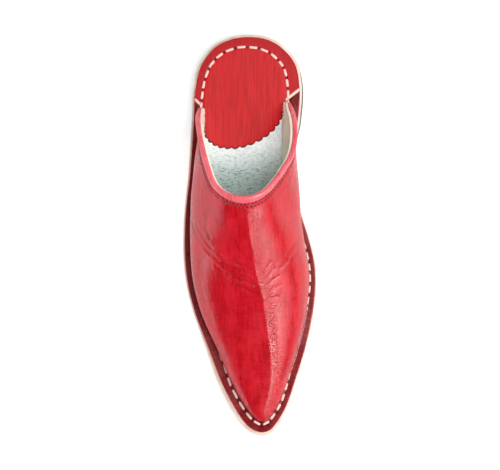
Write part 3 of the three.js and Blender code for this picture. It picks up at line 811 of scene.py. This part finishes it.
# The cut edge is pared round: its inset and its drop below the top
for inset, drop in ((0, None), (0, 0.5), (0.08, 0.2), (0.3, 0.03)):
    share = (inset / np.linalg.norm(bend_start - cut, axis=1))[:, None]
    plan = cut + (bend_start - cut) * share
    height = sole_top(plan[:, 1]) + GLUE_LINE if drop is None else turned_edge_top(plan[:, 1]) - drop
    ledge.append(np.column_stack([plan, height]))
inset_at_cut, inset_at_bend = seam(walks, RIM), seam(walks, FOOT) - BEND_RADIUS
stitch_inset = read_table(STITCH_LINE, walks, 1)
LEDGE_COLUMNS = 9
GROOVE_DEPTH, GROOVE_WIDTH = 0.3, 1.1
OFF_SEAM, FAR_OFF = 9.0, 90.0
offsets = [np.full(len(walks), OFF_SEAM)] * len(ledge)
for share in np.linspace(0, 1, LEDGE_COLUMNS + 2)[1:-1]:
    plan = cut + (bend_start - cut) * share
    from_stitches = inset_at_cut + (inset_at_bend - inset_at_cut) * share - stitch_inset
    groove = GROOVE_DEPTH * np.exp(-((from_stitches / GROOVE_WIDTH) ** 2))
    ledge.append(np.column_stack([plan, turned_edge_top(plan[:, 1]) - groove]))
    offsets.append(from_stitches)
for turn in np.linspace(0, np.pi / 2, 6)[:-1]:
    plan = ribs["foot"][:, 0] + ribs["outward"][:, 0] * BEND_RADIUS * (1 - np.sin(turn))
    ledge.append(np.column_stack([plan, turned_edge_top(plan[:, 1]) + BEND_RADIUS * (1 - np.cos(turn))]))
    offsets.append(seam(walks, FOOT) - BEND_RADIUS * (1 - np.sin(turn)) - stitch_inset)
ledge = np.stack(ledge, 1)

# The wall ends inside the binding's fold, and its relief fades out at the foot and the collar
INSIDE_FOLD = 1.1
COLLAR_FADE = (8, 20)
UNDER_TUCK = 0.6
u = (1 - INSIDE_FOLD / reach) * np.linspace(0, 1, WALL_ROWS)[None, :]
face, normal = wall_surface(walks, u)
fade = smooth_step(0, UPRIGHT_FOOT, u) * smooth_step(*COLLAR_FADE, (1 - u) * reach)
face = face + normal * (relief(face) * fade)[..., None]
back = (face - normal * WALL["leather"])[:, ::-8]
under = ribs["foot"][:, 0] - ribs["outward"][:, 0] * UNDER_TUCK
under = np.column_stack([under, sole_top(under[:, 1]) + GLUE_LINE])[:, None]
sections = np.concatenate([ledge, face, back, under], 1)

# Two maps for the thread holes: how many stitches along, and millimetres off the line
seam_map = np.full(sections.shape[:2] + (2,), OFF_SEAM)
seam_map[..., 0] = np.interp(walks, stitch_walks, stitch_run)[:, None]
seam_map[:, : len(offsets), 1] = np.stack(offsets, 1)

COLLAR_ROWS = (1.2, 3.5)
COLLAR_PITCH = 2.6
dense_walks = rib_walks(1600)
dense_reach = rib_reach(dense_walks)


def taper(walks):
    """Shrinks what runs along the collar towards the ends of the wings, where the wall is low"""
    return np.minimum(1, make_ribs(walks)["height"] / TAPER_HEIGHT)


OUTER_LEG, LONGER_IN_FRONT, FRONT_LENGTH = 3.5, 1.1, 120


def binding_drop(walks):
    """How far the binding's outer leg comes down the wall"""
    in_front = np.exp(-((walks[:, None] / FRONT_LENGTH) ** 2))
    return (OUTER_LEG + LONGER_IN_FRONT * in_front) * taper(walks)


def collar_line(walks, reach, below):
    """Points and normals along the collar, this far below the binding"""
    u = 1 - (binding_drop(walks) + below) / reach
    points, normals = wall_surface(walks, u)
    return points[:, 0], normals[:, 0]


row_points = collar_line(dense_walks, dense_reach, COLLAR_ROWS[0])[0]
row_run = np.concatenate([[0], np.cumsum(np.linalg.norm(np.diff(row_points, axis=0), axis=1))])
row_run -= np.interp(0, dense_walks, row_run)
collar_map = np.full(seam_map.shape, FAR_OFF)
collar_map[..., 0] = (np.interp(walks, dense_walks, row_run) / COLLAR_PITCH)[:, None]
face_columns = slice(ledge.shape[1], ledge.shape[1] + WALL_ROWS)
collar_map[:, face_columns, 1] = (1 - u) * reach - binding_drop(walks)

# The third map: how far a point is from the nearest crease, and from the fold
crease_map = np.full(seam_map.shape, FAR_OFF)
plan = face[..., :2]
to_creases = [distance_to_chain(plan, chain) for depth, chain in CREASES]
crease_map[:, face_columns, 0] = np.min(to_creases, axis=0)
crease_map[:, face_columns, 1] = plan[..., 0] - read_table(FOLD, plan[..., 1], 1)

upper = loft("upper_leather", sections, {"seam": seam_map, "collar": collar_map, "crease": crease_map})


def thread_holes(finish, map_name, lines, length, width):
    """Where a thread goes through: a mask that is 1 in the holes between the stitches.
    length is half a hole's length as a share of the pitch, and width half its width."""
    count, away = finish.map(map_name)
    total = None
    for line, shift in lines:
        shifted = finish.math("ADD", count, shift)
        from_hole = finish.absolute(finish.math("SUBTRACT", shifted, finish.math("ROUND", shifted)))
        along_it = finish.ramp(from_hole, 0.4 * length, length, 1, 0)
        off = finish.absolute(finish.math("SUBTRACT", away, line))
        across_it = finish.ramp(off, 0.35 * width, width, 1, 0)
        mask = finish.times(along_it, across_it)
        total = mask if total is None else finish.math("MAXIMUM", total, mask)
    return total


def red_leather(name, deep, bright, seam_lines=(), collar_lines=(), roughness=0.29, specular=0.5):
    """Aniline-dyed goat leather: fine pebbled grain, streaks along the skin, a soft shine"""
    finish = Finish(name, roughness, specular)
    streaks = finish.ramp(finish.noise(1.1, (1, 0.05, 0.25), 6, 0.6), 0.38, 0.62)
    clouds = finish.ramp(finish.noise(13, (1.2, 0.6, 1), 3), 0.35, 0.65)
    shade = finish.math("ADD", finish.times(streaks, 0.55), finish.times(clouds, 0.35))
    colour = finish.mix(shade, deep, bright)
    grain = finish.ramp(finish.pebbles(0.75), 0.1, 0.75)
    finish.bump(finish.times(grain, -1), 0.035)
    finish.bump(finish.noise(0.35, detail=6), 0.03)
    finish.bump(finish.noise(4.5, (1, 0.5, 1), 3), 0.12)
    holes = None
    if seam_lines:
        holes = thread_holes(finish, "seam", seam_lines, 0.17, 1.1)
    if collar_lines:
        more = thread_holes(finish, "collar", collar_lines, 0.26, 0.9)
        holes = more if holes is None else finish.math("MAXIMUM", holes, more)
    if holes is not None:
        # The holes are sunk and painted dark, as painted shade inside them
        finish.bump(finish.times(holes, -1), 0.5)
        colour = finish.mix(holes, colour, paint(104, 3, 12))
    return finish, colour, finish.ramp(clouds, 0, 1, roughness - 0.05, roughness + 0.07)


finish, colour, rough = red_leather(
    "red upper leather", paint(178, 2, 18), paint(222, 18, 42),
    seam_lines=[(0, 0)], collar_lines=[(COLLAR_ROWS[0], 0), (COLLAR_ROWS[1], 0.5)])
# The turned edge is painted much darker: partly its own darker colour, partly painted shade where the wall
# overhangs it
on_ledge = finish.ramp(finish.map("seam")[1], 3.4, 6, 1, 0)
colour = finish.mix(finish.times(on_ledge, 0.9), colour, paint(94, 1, 7))
# Creases are painted darker, as painted shade in their troughs, and medial of the fold the skin is crazed
# into fine crosswise wrinkles
from_crease, from_fold = finish.map("crease")
crease = finish.times(finish.ramp(from_crease, 0.15, 1.0, 1, 0),
                      finish.ramp(finish.noise(1.8), 0.35, 0.6, 0.25, 1))
colour = finish.mix(finish.times(crease, 0.45), colour, paint(112, 0, 10))
from_craze = finish.absolute(finish.math("SUBTRACT", from_fold, 4.0))
crazed = finish.ramp(from_craze, 1.0, 7.0, 1, 0)
wrinkles = finish.noise(1.25, (0.5, 1.4, 0.6), 6, 0.66, turn=0.5)
finish.bump(finish.times(crazed, finish.ramp(wrinkles, 0.38, 0.64)), 0.13)
# Painted highlight: pale pink specks on the crazed wrinkles, where the fold catches the light
painted_highlight_specks = finish.times(crazed, finish.ramp(wrinkles, 0.54, 0.64))
colour = finish.mix(finish.times(painted_highlight_specks, 0.35), colour, paint(250, 124, 120))
# Painted shade: dark lines in the cracks between the crazed wrinkles
painted_shade_cracks = finish.times(crazed, finish.ramp(wrinkles, 0.34, 0.44, 1, 0))
colour = finish.mix(finish.times(painted_shade_cracks, 0.55), colour, paint(134, 2, 12))
finish.bump(finish.times(crease, -1), 0.12)
# Towards the toe the skin's streaks run across
toe_half = finish.ramp(finish.parts(finish.object)[1], -0.03, -0.06, 0.1, 0.36)
across_streaks = finish.ramp(finish.noise(0.8, (0.05, 1, 0.25), 3), 0.5, 0.66)
colour = finish.mix(finish.times(across_streaks, toe_half), colour, paint(146, 2, 14))
pale_streaks = finish.ramp(finish.noise(0.7, (0.04, 1, 0.25), 3), 0.36, 0.48, 1, 0)
pale_streaks = finish.times(pale_streaks, finish.times(toe_half, 0.7))
colour = finish.mix(pale_streaks, colour, paint(232, 46, 60))
upper.data.materials.append(finish.finish(colour, rough))
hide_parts("upper")
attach(upper, "root")


# ---- Lining --------------------------------------------------------------------------
# Undyed leather glued to the inside of the upper. It stops just under the collar's fold,
# where its pale cut edge shows all round the opening.

LINING_ROWS = 61
LINING_DROP = 1.1
LINING_LIFT = 0.05
BEHIND_LEATHER = 0.06
# Below the collar it is pushed in by the binding's inner leg, where the wall is high enough
BINDING_LEG = 1.0
LEG_END = (7, 2.2)
LEG_WALL = (4, 12)
lining_walks = rib_walks(260)
lining_reach = rib_reach(lining_walks)
drop = LINING_DROP * taper(lining_walks)
u = (1 - drop / lining_reach) * np.linspace(0, 1, LINING_ROWS)[None, :]
skin, normal = wall_surface(lining_walks, u)
below = ((1 - u) * lining_reach)[..., None]
wall_height = make_ribs(lining_walks)["height"][..., None]
pushed = BINDING_LEG * smooth_step(*LEG_END, below) * smooth_step(*LEG_WALL, wall_height)
outer = WALL["leather"] + BEHIND_LEATHER + pushed
inner = outer + WALL["lining"]
inside = skin - normal * inner
inside[:, -1] += normal[:, -1] * 0.2
outside = (skin - normal * outer)[:, ::-5]
feet = np.stack([inside[:, 0], outside[:, -1]], 1)
feet[..., 2] = sole_top(feet[..., 1]) + LINING_LIFT
sections = np.concatenate([feet[:, :1], inside, outside, feet[:, 1:]], 1)
# How far a point is below the cut edge
edge_map = np.zeros(sections.shape[:2] + (2,))
edge_map[:, 1 : 1 + LINING_ROWS, 0] = below[..., 0] - drop
edge_map[:, [0, -1], 0] = FAR_OFF
lining = loft("lining_leather", sections, {"edge": edge_map})
finish = Finish("undyed lining", 0.7, 0.3)
clouds = finish.ramp(finish.noise(7), 0.35, 0.68)
fibres = finish.ramp(finish.noise(0.5, (1, 1, 0.3), 6), 0.3, 0.7)
panel = finish.mix(clouds, paint(254, 252, 236), paint(242, 240, 218))
panel = finish.mix(finish.times(fibres, 0.2), panel, paint(214, 206, 178))
finish.bump(finish.noise(0.35, detail=5), 0.08)
lining.data.materials.append(finish.finish(
    finish.mix(finish.ramp(finish.map("edge")[0], 0.25, 0.7), paint(255, 243, 222), panel)))
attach(lining, "root")


# ---- Collar binding ------------------------------------------------------------------
# A strip of the same red leather, thinned and folded tightly over the collar's edge. It is
# smoother, and its colour is paler and pinker than the vamp's: partly its own colour, partly painted
# highlight on the rounded fold. It tapers away at each wing.

# (down from the top edge, out from the wall's face), once round the strip
BINDING_PROFILE = [
    (1, 0.04), (1, 0.35), (0.96, 0.62), (0.86, 0.85), (0.7, 1.05), (0.5, 1.22), (0.34, 1.3), (0.2, 1.26),
    (0.08, 1.05), (-0.01, 0.7), (-0.07, 0.2), (-0.1, -0.4), (-0.09, -1), (-0.03, -1.6), (0.07, -2.02),
    (0.22, -2.22), (0.4, -2.2), (0.42, -1.8), (0.42, -1.24), (0.3, -1.1), (0.26, -0.6), (0.26, 0.03),
]
binding_walks = rib_walks(460)
binding_reach = rib_reach(binding_walks)
THINNEST = 0.3
slim = THINNEST + (1 - THINNEST) * taper(binding_walks)
columns = []
for down, out in BINDING_PROFILE:
    u = 1 - down * binding_drop(binding_walks) / binding_reach
    point, normal = wall_surface(binding_walks, u)
    columns.append(point + normal * (out * slim)[..., None])
binding = loft("collar_binding_leather", np.concatenate(columns, 1))
# Its pale pink is partly the strip's own colour and partly painted highlight on the rounded fold
finish, colour, rough = red_leather(
    "pale binding leather with painted highlight", paint(230, 86, 98), paint(250, 120, 128), roughness=0.27)
binding.data.materials.append(finish.finish(colour, rough))
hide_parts("collar_binding")
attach(binding, "root")


# ---- Collar stitches -----------------------------------------------------------------
# Two rows of machine stitches in red thread hold the binding's inner leg and the lining.
# They run side by side just below the binding.


def make_stitches(name, starts, ends, normals, width, rise, sink):
    """Threads that come up at each start, lie along the leather and go down at each end"""
    way = ends - starts
    length = np.linalg.norm(way, axis=1, keepdims=True)
    way = way / length
    side = np.cross(way, normals)
    side /= np.linalg.norm(side, axis=1, keepdims=True)
    steps, sides = 10, 8
    flatness = 0.72
    vertices, twist = [], []
    for t in np.linspace(0, 1, steps):
        arch = (1 - (2 * t - 1) ** 4) * (rise + sink) - sink
        girth = 0.62 + 0.38 * (1 - (2 * t - 1) ** 6)
        middle = starts + way * length * t + normals * arch
        for turn in np.linspace(0, 2 * np.pi, sides + 1):
            vertices.append(middle + side * (math.cos(turn) * girth * width / 2)
                            + normals * (math.sin(turn) * girth * width / 2 * flatness))
            round_it = np.full(len(starts), turn / (2 * np.pi))
            twist.append(np.column_stack([t * length[:, 0] / width, round_it]))
    vertices = np.stack(vertices, 1)
    twist = np.stack(twist, 1)
    ring = sides + 1
    faces = []
    for i in range(steps - 1):
        for j in range(sides):
            a = i * ring + j
            faces.append((a, a + 1, a + 1 + ring, a + ring))
    last_ring = (steps - 1) * ring
    faces += [tuple(range(sides)), tuple(range(last_ring, last_ring + sides))]
    every = [[index + k * steps * ring for index in face] for k in range(len(starts)) for face in faces]
    return make_piece(name, vertices, every, {"twist": twist})


def thread_finish(name, pale, deep):
    finish = Finish(name, 0.6, 0.3, Sheen_Weight=0.2)
    along_it, round_it = finish.map("twist")
    lay = finish.math("ADD", finish.times(along_it, 1.6), round_it)
    strand = finish.absolute(finish.math("SINE", finish.times(lay, 2 * math.pi)))
    finish.bump(strand, 0.12)
    fuzz = finish.noise(0.3)
    # Painted shade in the grooves between the twisted strands
    shade = finish.times(finish.ramp(strand, 0, 0.5, 1, 0), 0.4)
    colour = finish.mix(shade, finish.mix(fuzz, pale, deep), deep)
    return finish.finish(colour)


STITCHED_HEIGHT = 15
allowed = make_ribs(dense_walks)["height"][:, 0] > STITCHED_HEIGHT
low_run, high_run = (row_run[allowed][end] / COLLAR_PITCH for end in (0, -1))
collar_starts, collar_ends, collar_normals = [], [], []
for drop, shift in ((COLLAR_ROWS[0], 0), (COLLAR_ROWS[1], 0.5)):
    line, line_normals = collar_line(dense_walks, dense_reach, drop)
    for number in range(math.ceil(low_run), math.floor(high_run)):
        at = [(number - shift + gap) * COLLAR_PITCH for gap in (0.2, 0.8)]
        start, end_at, middle_normal = (
            np.array([np.interp(where, row_run, values[:, axis]) for axis in range(3)])
            for where, values in ((at[0], line), (at[1], line), (sum(at) / 2, line_normals)))
        collar_starts.append(start)
        collar_ends.append(end_at)
        collar_normals.append(middle_normal / np.linalg.norm(middle_normal))
collar_stitches = make_stitches(
    "collar_stitches", np.array(collar_starts), np.array(collar_ends), np.array(collar_normals),
    width=0.75, rise=0.2, sink=0.35)
collar_stitches.data.materials.append(
    thread_finish("red thread", paint(226, 50, 62), paint(190, 26, 38)))
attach(collar_stitches, "root")


# ---- Heel sock -----------------------------------------------------------------------
# Red leather that covers the heel. It lies over the turned edge's rear ends, its raw
# cream edges run in to each wing's point, and its front edge is cut in small scallops.

SOCK_THICKNESS = 1.2
SCALLOPS = 15
SCALLOP_DEPTH = 1.4
SOCK_FRONT = 77.6
SOCK_SIDE = {"lateral": -229, "medial": 238}
SOCK_BOTTOM = sole_top(0) + INSOLE_THICKNESS
RAW_EDGE = 2.1


# The front edge starts under the lining, this far in from the leather, and then this far in
# from that corner and in front of the wing's point
FRONT_TUCK = 0.4
FRONT_START = (0.6, 1.5)


def front_corner(side):
    walk = np.array(SOCK_SIDE[side])
    return edge_point(walk, seam(walk, FOOT) + WALL["leather"] + FRONT_TUCK)


def sock_outline():
    around = [np.array([APEX["lateral"]])]
    steps = np.sin(np.pi * np.arange(0, 61) / 120)
    for side, key in ((0, "lateral"), (1, "medial")):
        walks = SOCK_END[key] + (HEEL_WALK[side] - SOCK_END[key]) * steps
        rim = edge_point(walks, seam(walks, RIM) + RIM_MARGIN)
        around.append(rim if side == 0 else rim[-2::-1])
    around.append(np.array([APEX["medial"]]))
    right, left = front_corner("medial"), front_corner("lateral")
    middle, half = (left + right) / 2, (right - left) / 2
    depth = SOCK_FRONT - middle[1]
    angle = np.linspace(0, np.pi, SCALLOPS * 10 + 1)
    lobe = SCALLOP_DEPTH * (np.abs(np.sin(SCALLOPS * angle)) ** 0.8 - 1)
    front = np.column_stack([
        middle[0] + (half[0] + lobe) * np.cos(angle),
        middle[1] + half[1] * np.cos(angle) + (depth + lobe) * np.sin(angle) ** 0.9,
    ])
    across, along_it = FRONT_START
    around.append(np.array([[right[0] - across, APEX["medial"][1] + along_it]]))
    around.append(front)
    around.append(np.array([[left[0] + across, APEX["lateral"][1] + along_it]]))
    return np.vstack(around)


sock_edge = sock_outline()
CLEAR_OF_WINGS = 4
# The raw cuts lean back from their foot, near their line
CUT_LEAN = (0.25, 0.7)
STITCH_PULL, PULL_WIDTH = 0.28, 1.3
# The rim is pared down from this far in
RIM_PARED, PARED_FROM = 0.35, (2.5, 7.5)


def from_edges(points):
    """Distances from the two raw cuts beside the wings, and from the scalloped front"""
    plan = points[:, :2]
    cuts = [distance_to_chain(plan, [APEX[key], tuple(edge_point(SOCK_END[key], seam(SOCK_END[key], RIM)))])
            for key in APEX]
    front = sock_edge[sock_edge[:, 1] > APEX["lateral"][1] + CLEAR_OF_WINGS]
    return np.column_stack([np.minimum(*cuts), nearest(points, front)[1]])


def from_rim(points):
    away = nearest(points, edge)[1]
    return np.column_stack([away, away])


def sock_rim(inset, share):
    near_cut = smooth_step(2, 0.8, from_edges(sock_edge)[:, :1])
    inset = inset + (CUT_LEAN[0] + CUT_LEAN[1] * share) * near_cut
    way = np.roll(sock_edge, -1, 0) - np.roll(sock_edge, 1, 0)
    way /= np.linalg.norm(way, axis=1, keepdims=True)
    inward = np.column_stack([-way[:, 1], way[:, 0]])
    turned = np.sum(np.cross(sock_edge, np.roll(sock_edge, -1, 0)))
    return sock_edge + inward * (inset if turned > 0 else -inset)


def nearest_stitch(points):
    """How many stitches along a point is, and its distance off the stitched line"""
    which, away = nearest(points, stitch_path)
    return np.column_stack([stitch_run[which], away])


def sock_top(points):
    away = nearest_stitch(points)[:, 1]
    pulled = STITCH_PULL * np.exp(-((away / PULL_WIDTH) ** 2))
    pared = RIM_PARED * (1 - smooth_step(*PARED_FROM, from_rim(points)[:, 0]))
    return SOCK_BOTTOM + SOCK_THICKNESS - pulled - pared


sock = make_slab(
    "heel_sock_leather", sock_rim,
    [(0, 0), (0.02, 0.3), (0.1, 0.75), (0.3, 1)],
    lambda p: np.full(len(p), SOCK_BOTTOM), sock_top, 1.4,
    {"seam": nearest_stitch, "edges": from_edges, "rim": from_rim}, sharp=40,
)
finish, colour, rough = red_leather(
    "red sock leather", paint(180, 12, 20), paint(208, 34, 38),
    seam_lines=[(0, 0)], roughness=0.6, specular=0.25)
# It is darker outside the stitches, painted darker along the scallops as painted shadow under their cut
# edge, and left undyed at the raw cuts
colour = finish.mix(finish.ramp(finish.map("rim")[0], 6.5, 9.5, 0.55, 0), colour, paint(160, 14, 22))
from_cuts, from_scallops = finish.map("edges")
colour = finish.mix(finish.ramp(from_scallops, 0.4, 1.3, 0.9, 0), colour, paint(104, 4, 12))
raw = finish.ramp(from_cuts, RAW_EDGE - 0.2, RAW_EDGE + 0.15, 1, 0)
undyed = finish.mix(finish.noise(0.8), paint(255, 226, 206), paint(255, 190, 180))
colour = finish.mix(raw, colour, undyed)
sock.data.materials.append(finish.finish(colour, rough))
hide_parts("heel_sock")
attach(sock, "root")


# ---- Sole stitches -------------------------------------------------------------------
# One running stitch of thick waxed cream thread, sewn by hand right round the shoe. It
# goes through the turned edge, or the heel sock, and through the sole.

THREAD_WIDTH = 1.7
PULLED_IN = 0.25
# Where a thread comes up and goes down, as shares of its pitch, and how far hands wander
SHOWS = (0.11, 0.89)
WANDER = {"along": 0.02, "across": 0.12}
# How far in front of the sock's ends at the rim the stitches step up on it
STEP_UP = {"lateral": 9, "medial": 11}
by_hand = np.random.default_rng(7)
numbers = math.ceil(stitch_run[0]) + np.arange(stitch_count)


def on_stitch_line(count):
    """The place of a thread: the heel's two halves of the line meet at the back"""
    count = stitch_run[0] + (count - stitch_run[0]) % stitch_count
    plan = np.column_stack([np.interp(count, stitch_run, stitch_path[:, axis]) for axis in (0, 1)])
    walk = np.interp(count, stitch_run, stitch_walks)
    inset = read_table(STITCH_LINE, walk, 1) + by_hand.normal(0, WANDER["across"], len(count))
    up_bend = np.clip(inset - seam(walk, FOOT) + BEND_RADIUS, 0, 0.85 * BEND_RADIUS)
    raised = BEND_RADIUS - np.sqrt(BEND_RADIUS**2 - up_bend**2)
    on_sock = ((walk < SOCK_END["lateral"] + STEP_UP["lateral"])
               | (walk > SOCK_END["medial"] - STEP_UP["medial"]))
    height = np.where(on_sock, SOCK_BOTTOM + SOCK_THICKNESS, turned_edge_top(plan[:, 1]) + raised)
    return np.column_stack([edge_point(walk, inset), height - PULLED_IN])


starts, ends = (
    on_stitch_line(numbers + share + by_hand.uniform(-WANDER["along"], WANDER["along"], stitch_count))
    for share in SHOWS)
up = np.tile([0.0, 0.0, 1.0], (stitch_count, 1))
sole_stitches = make_stitches(
    "sole_stitches", starts, ends, up, width=THREAD_WIDTH, rise=0.5, sink=0.7)
cream_thread = thread_finish("waxed cream thread", paint(255, 236, 226), paint(246, 198, 180))
sole_stitches.data.materials.append(cream_thread)
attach(sole_stitches, "root")


# ---- Floor, light and camera ---------------------------------------------------------
# A white table in a bright studio: a large soft light and a strip on the shoe's medial
# side, a low one on its lateral side, and an even fill. The camera looks straight down.

floor_mesh = bpy.data.meshes.new("floor")
floor_mesh.from_pydata([(-3, -3, 0), (3, -3, 0), (3, 3, 0), (-3, 3, 0)], [], [(0, 1, 2, 3)])
floor = bpy.data.objects.new("floor", floor_mesh)
bpy.context.scene.collection.objects.link(floor)
table = Finish("white table", 0.9, 0.1, Emission_Color=(1, 1, 1, 1), Emission_Strength=0.62)
floor_mesh.materials.append(table.finish(
    table.mix(table.noise(60), (0.56, 0.56, 0.56, 1), (0.58, 0.58, 0.58, 1))))


def add_light(name, place, aim, size, power, colour=(1, 1, 1), glossy=True, diffuse=True):
    lamp = bpy.data.lights.new(name, "AREA")
    lamp.shape = "RECTANGLE"
    lamp.size, lamp.size_y = size
    lamp.energy = power
    lamp.color = colour
    light = bpy.data.objects.new(name, lamp)
    bpy.context.scene.collection.objects.link(light)
    light.location = place
    light.rotation_euler = (Vector(aim) - Vector(place)).to_track_quat("-Z", "Y").to_euler()
    light.visible_glossy = glossy
    light.visible_diffuse = diffuse


add_light("fill_above", (0.38, 0, 1.6), (0, 0, 0), (1.3, 1.3), 28.5, glossy=False)
add_light("soft_box_medial", (1.3, -0.35, 1.0), (0, 0, 0), (2.0, 0.9), 11)
add_light("strip_medial", (0.68, -0.34, 1.25), (0, 0, 0), (0.72, 0.26), 26, diffuse=False)
add_light("low_box_lateral", (-1.5, -0.1, 0.07), (0, 0, 0.02), (2.0, 0.1), 7, (0.96, 0.94, 1.0))

world = bpy.data.worlds.new("studio")
world.use_nodes = True
world.node_tree.nodes["Background"].inputs["Color"].default_value = (1, 1, 1, 1)
world.node_tree.nodes["Background"].inputs["Strength"].default_value = 0.1
bpy.context.scene.world = world
bpy.context.scene.view_settings.view_transform = "Standard"

camera_data = bpy.data.cameras.new("camera")
camera = bpy.data.objects.new("camera", camera_data)
bpy.context.scene.collection.objects.link(camera)
# The picture is FRAME_WIDTH across at the sole's rim
CAMERA_HEIGHT = 6.0
FRAME_WIDTH = 0.343
RIM_HEIGHT = 0.012
SENSOR = 36
camera_data.sensor_width = SENSOR
camera_data.lens = SENSOR * CAMERA_HEIGHT / FRAME_WIDTH
camera.location = (0, 0, CAMERA_HEIGHT + RIM_HEIGHT)
bpy.context.scene.camera = camera
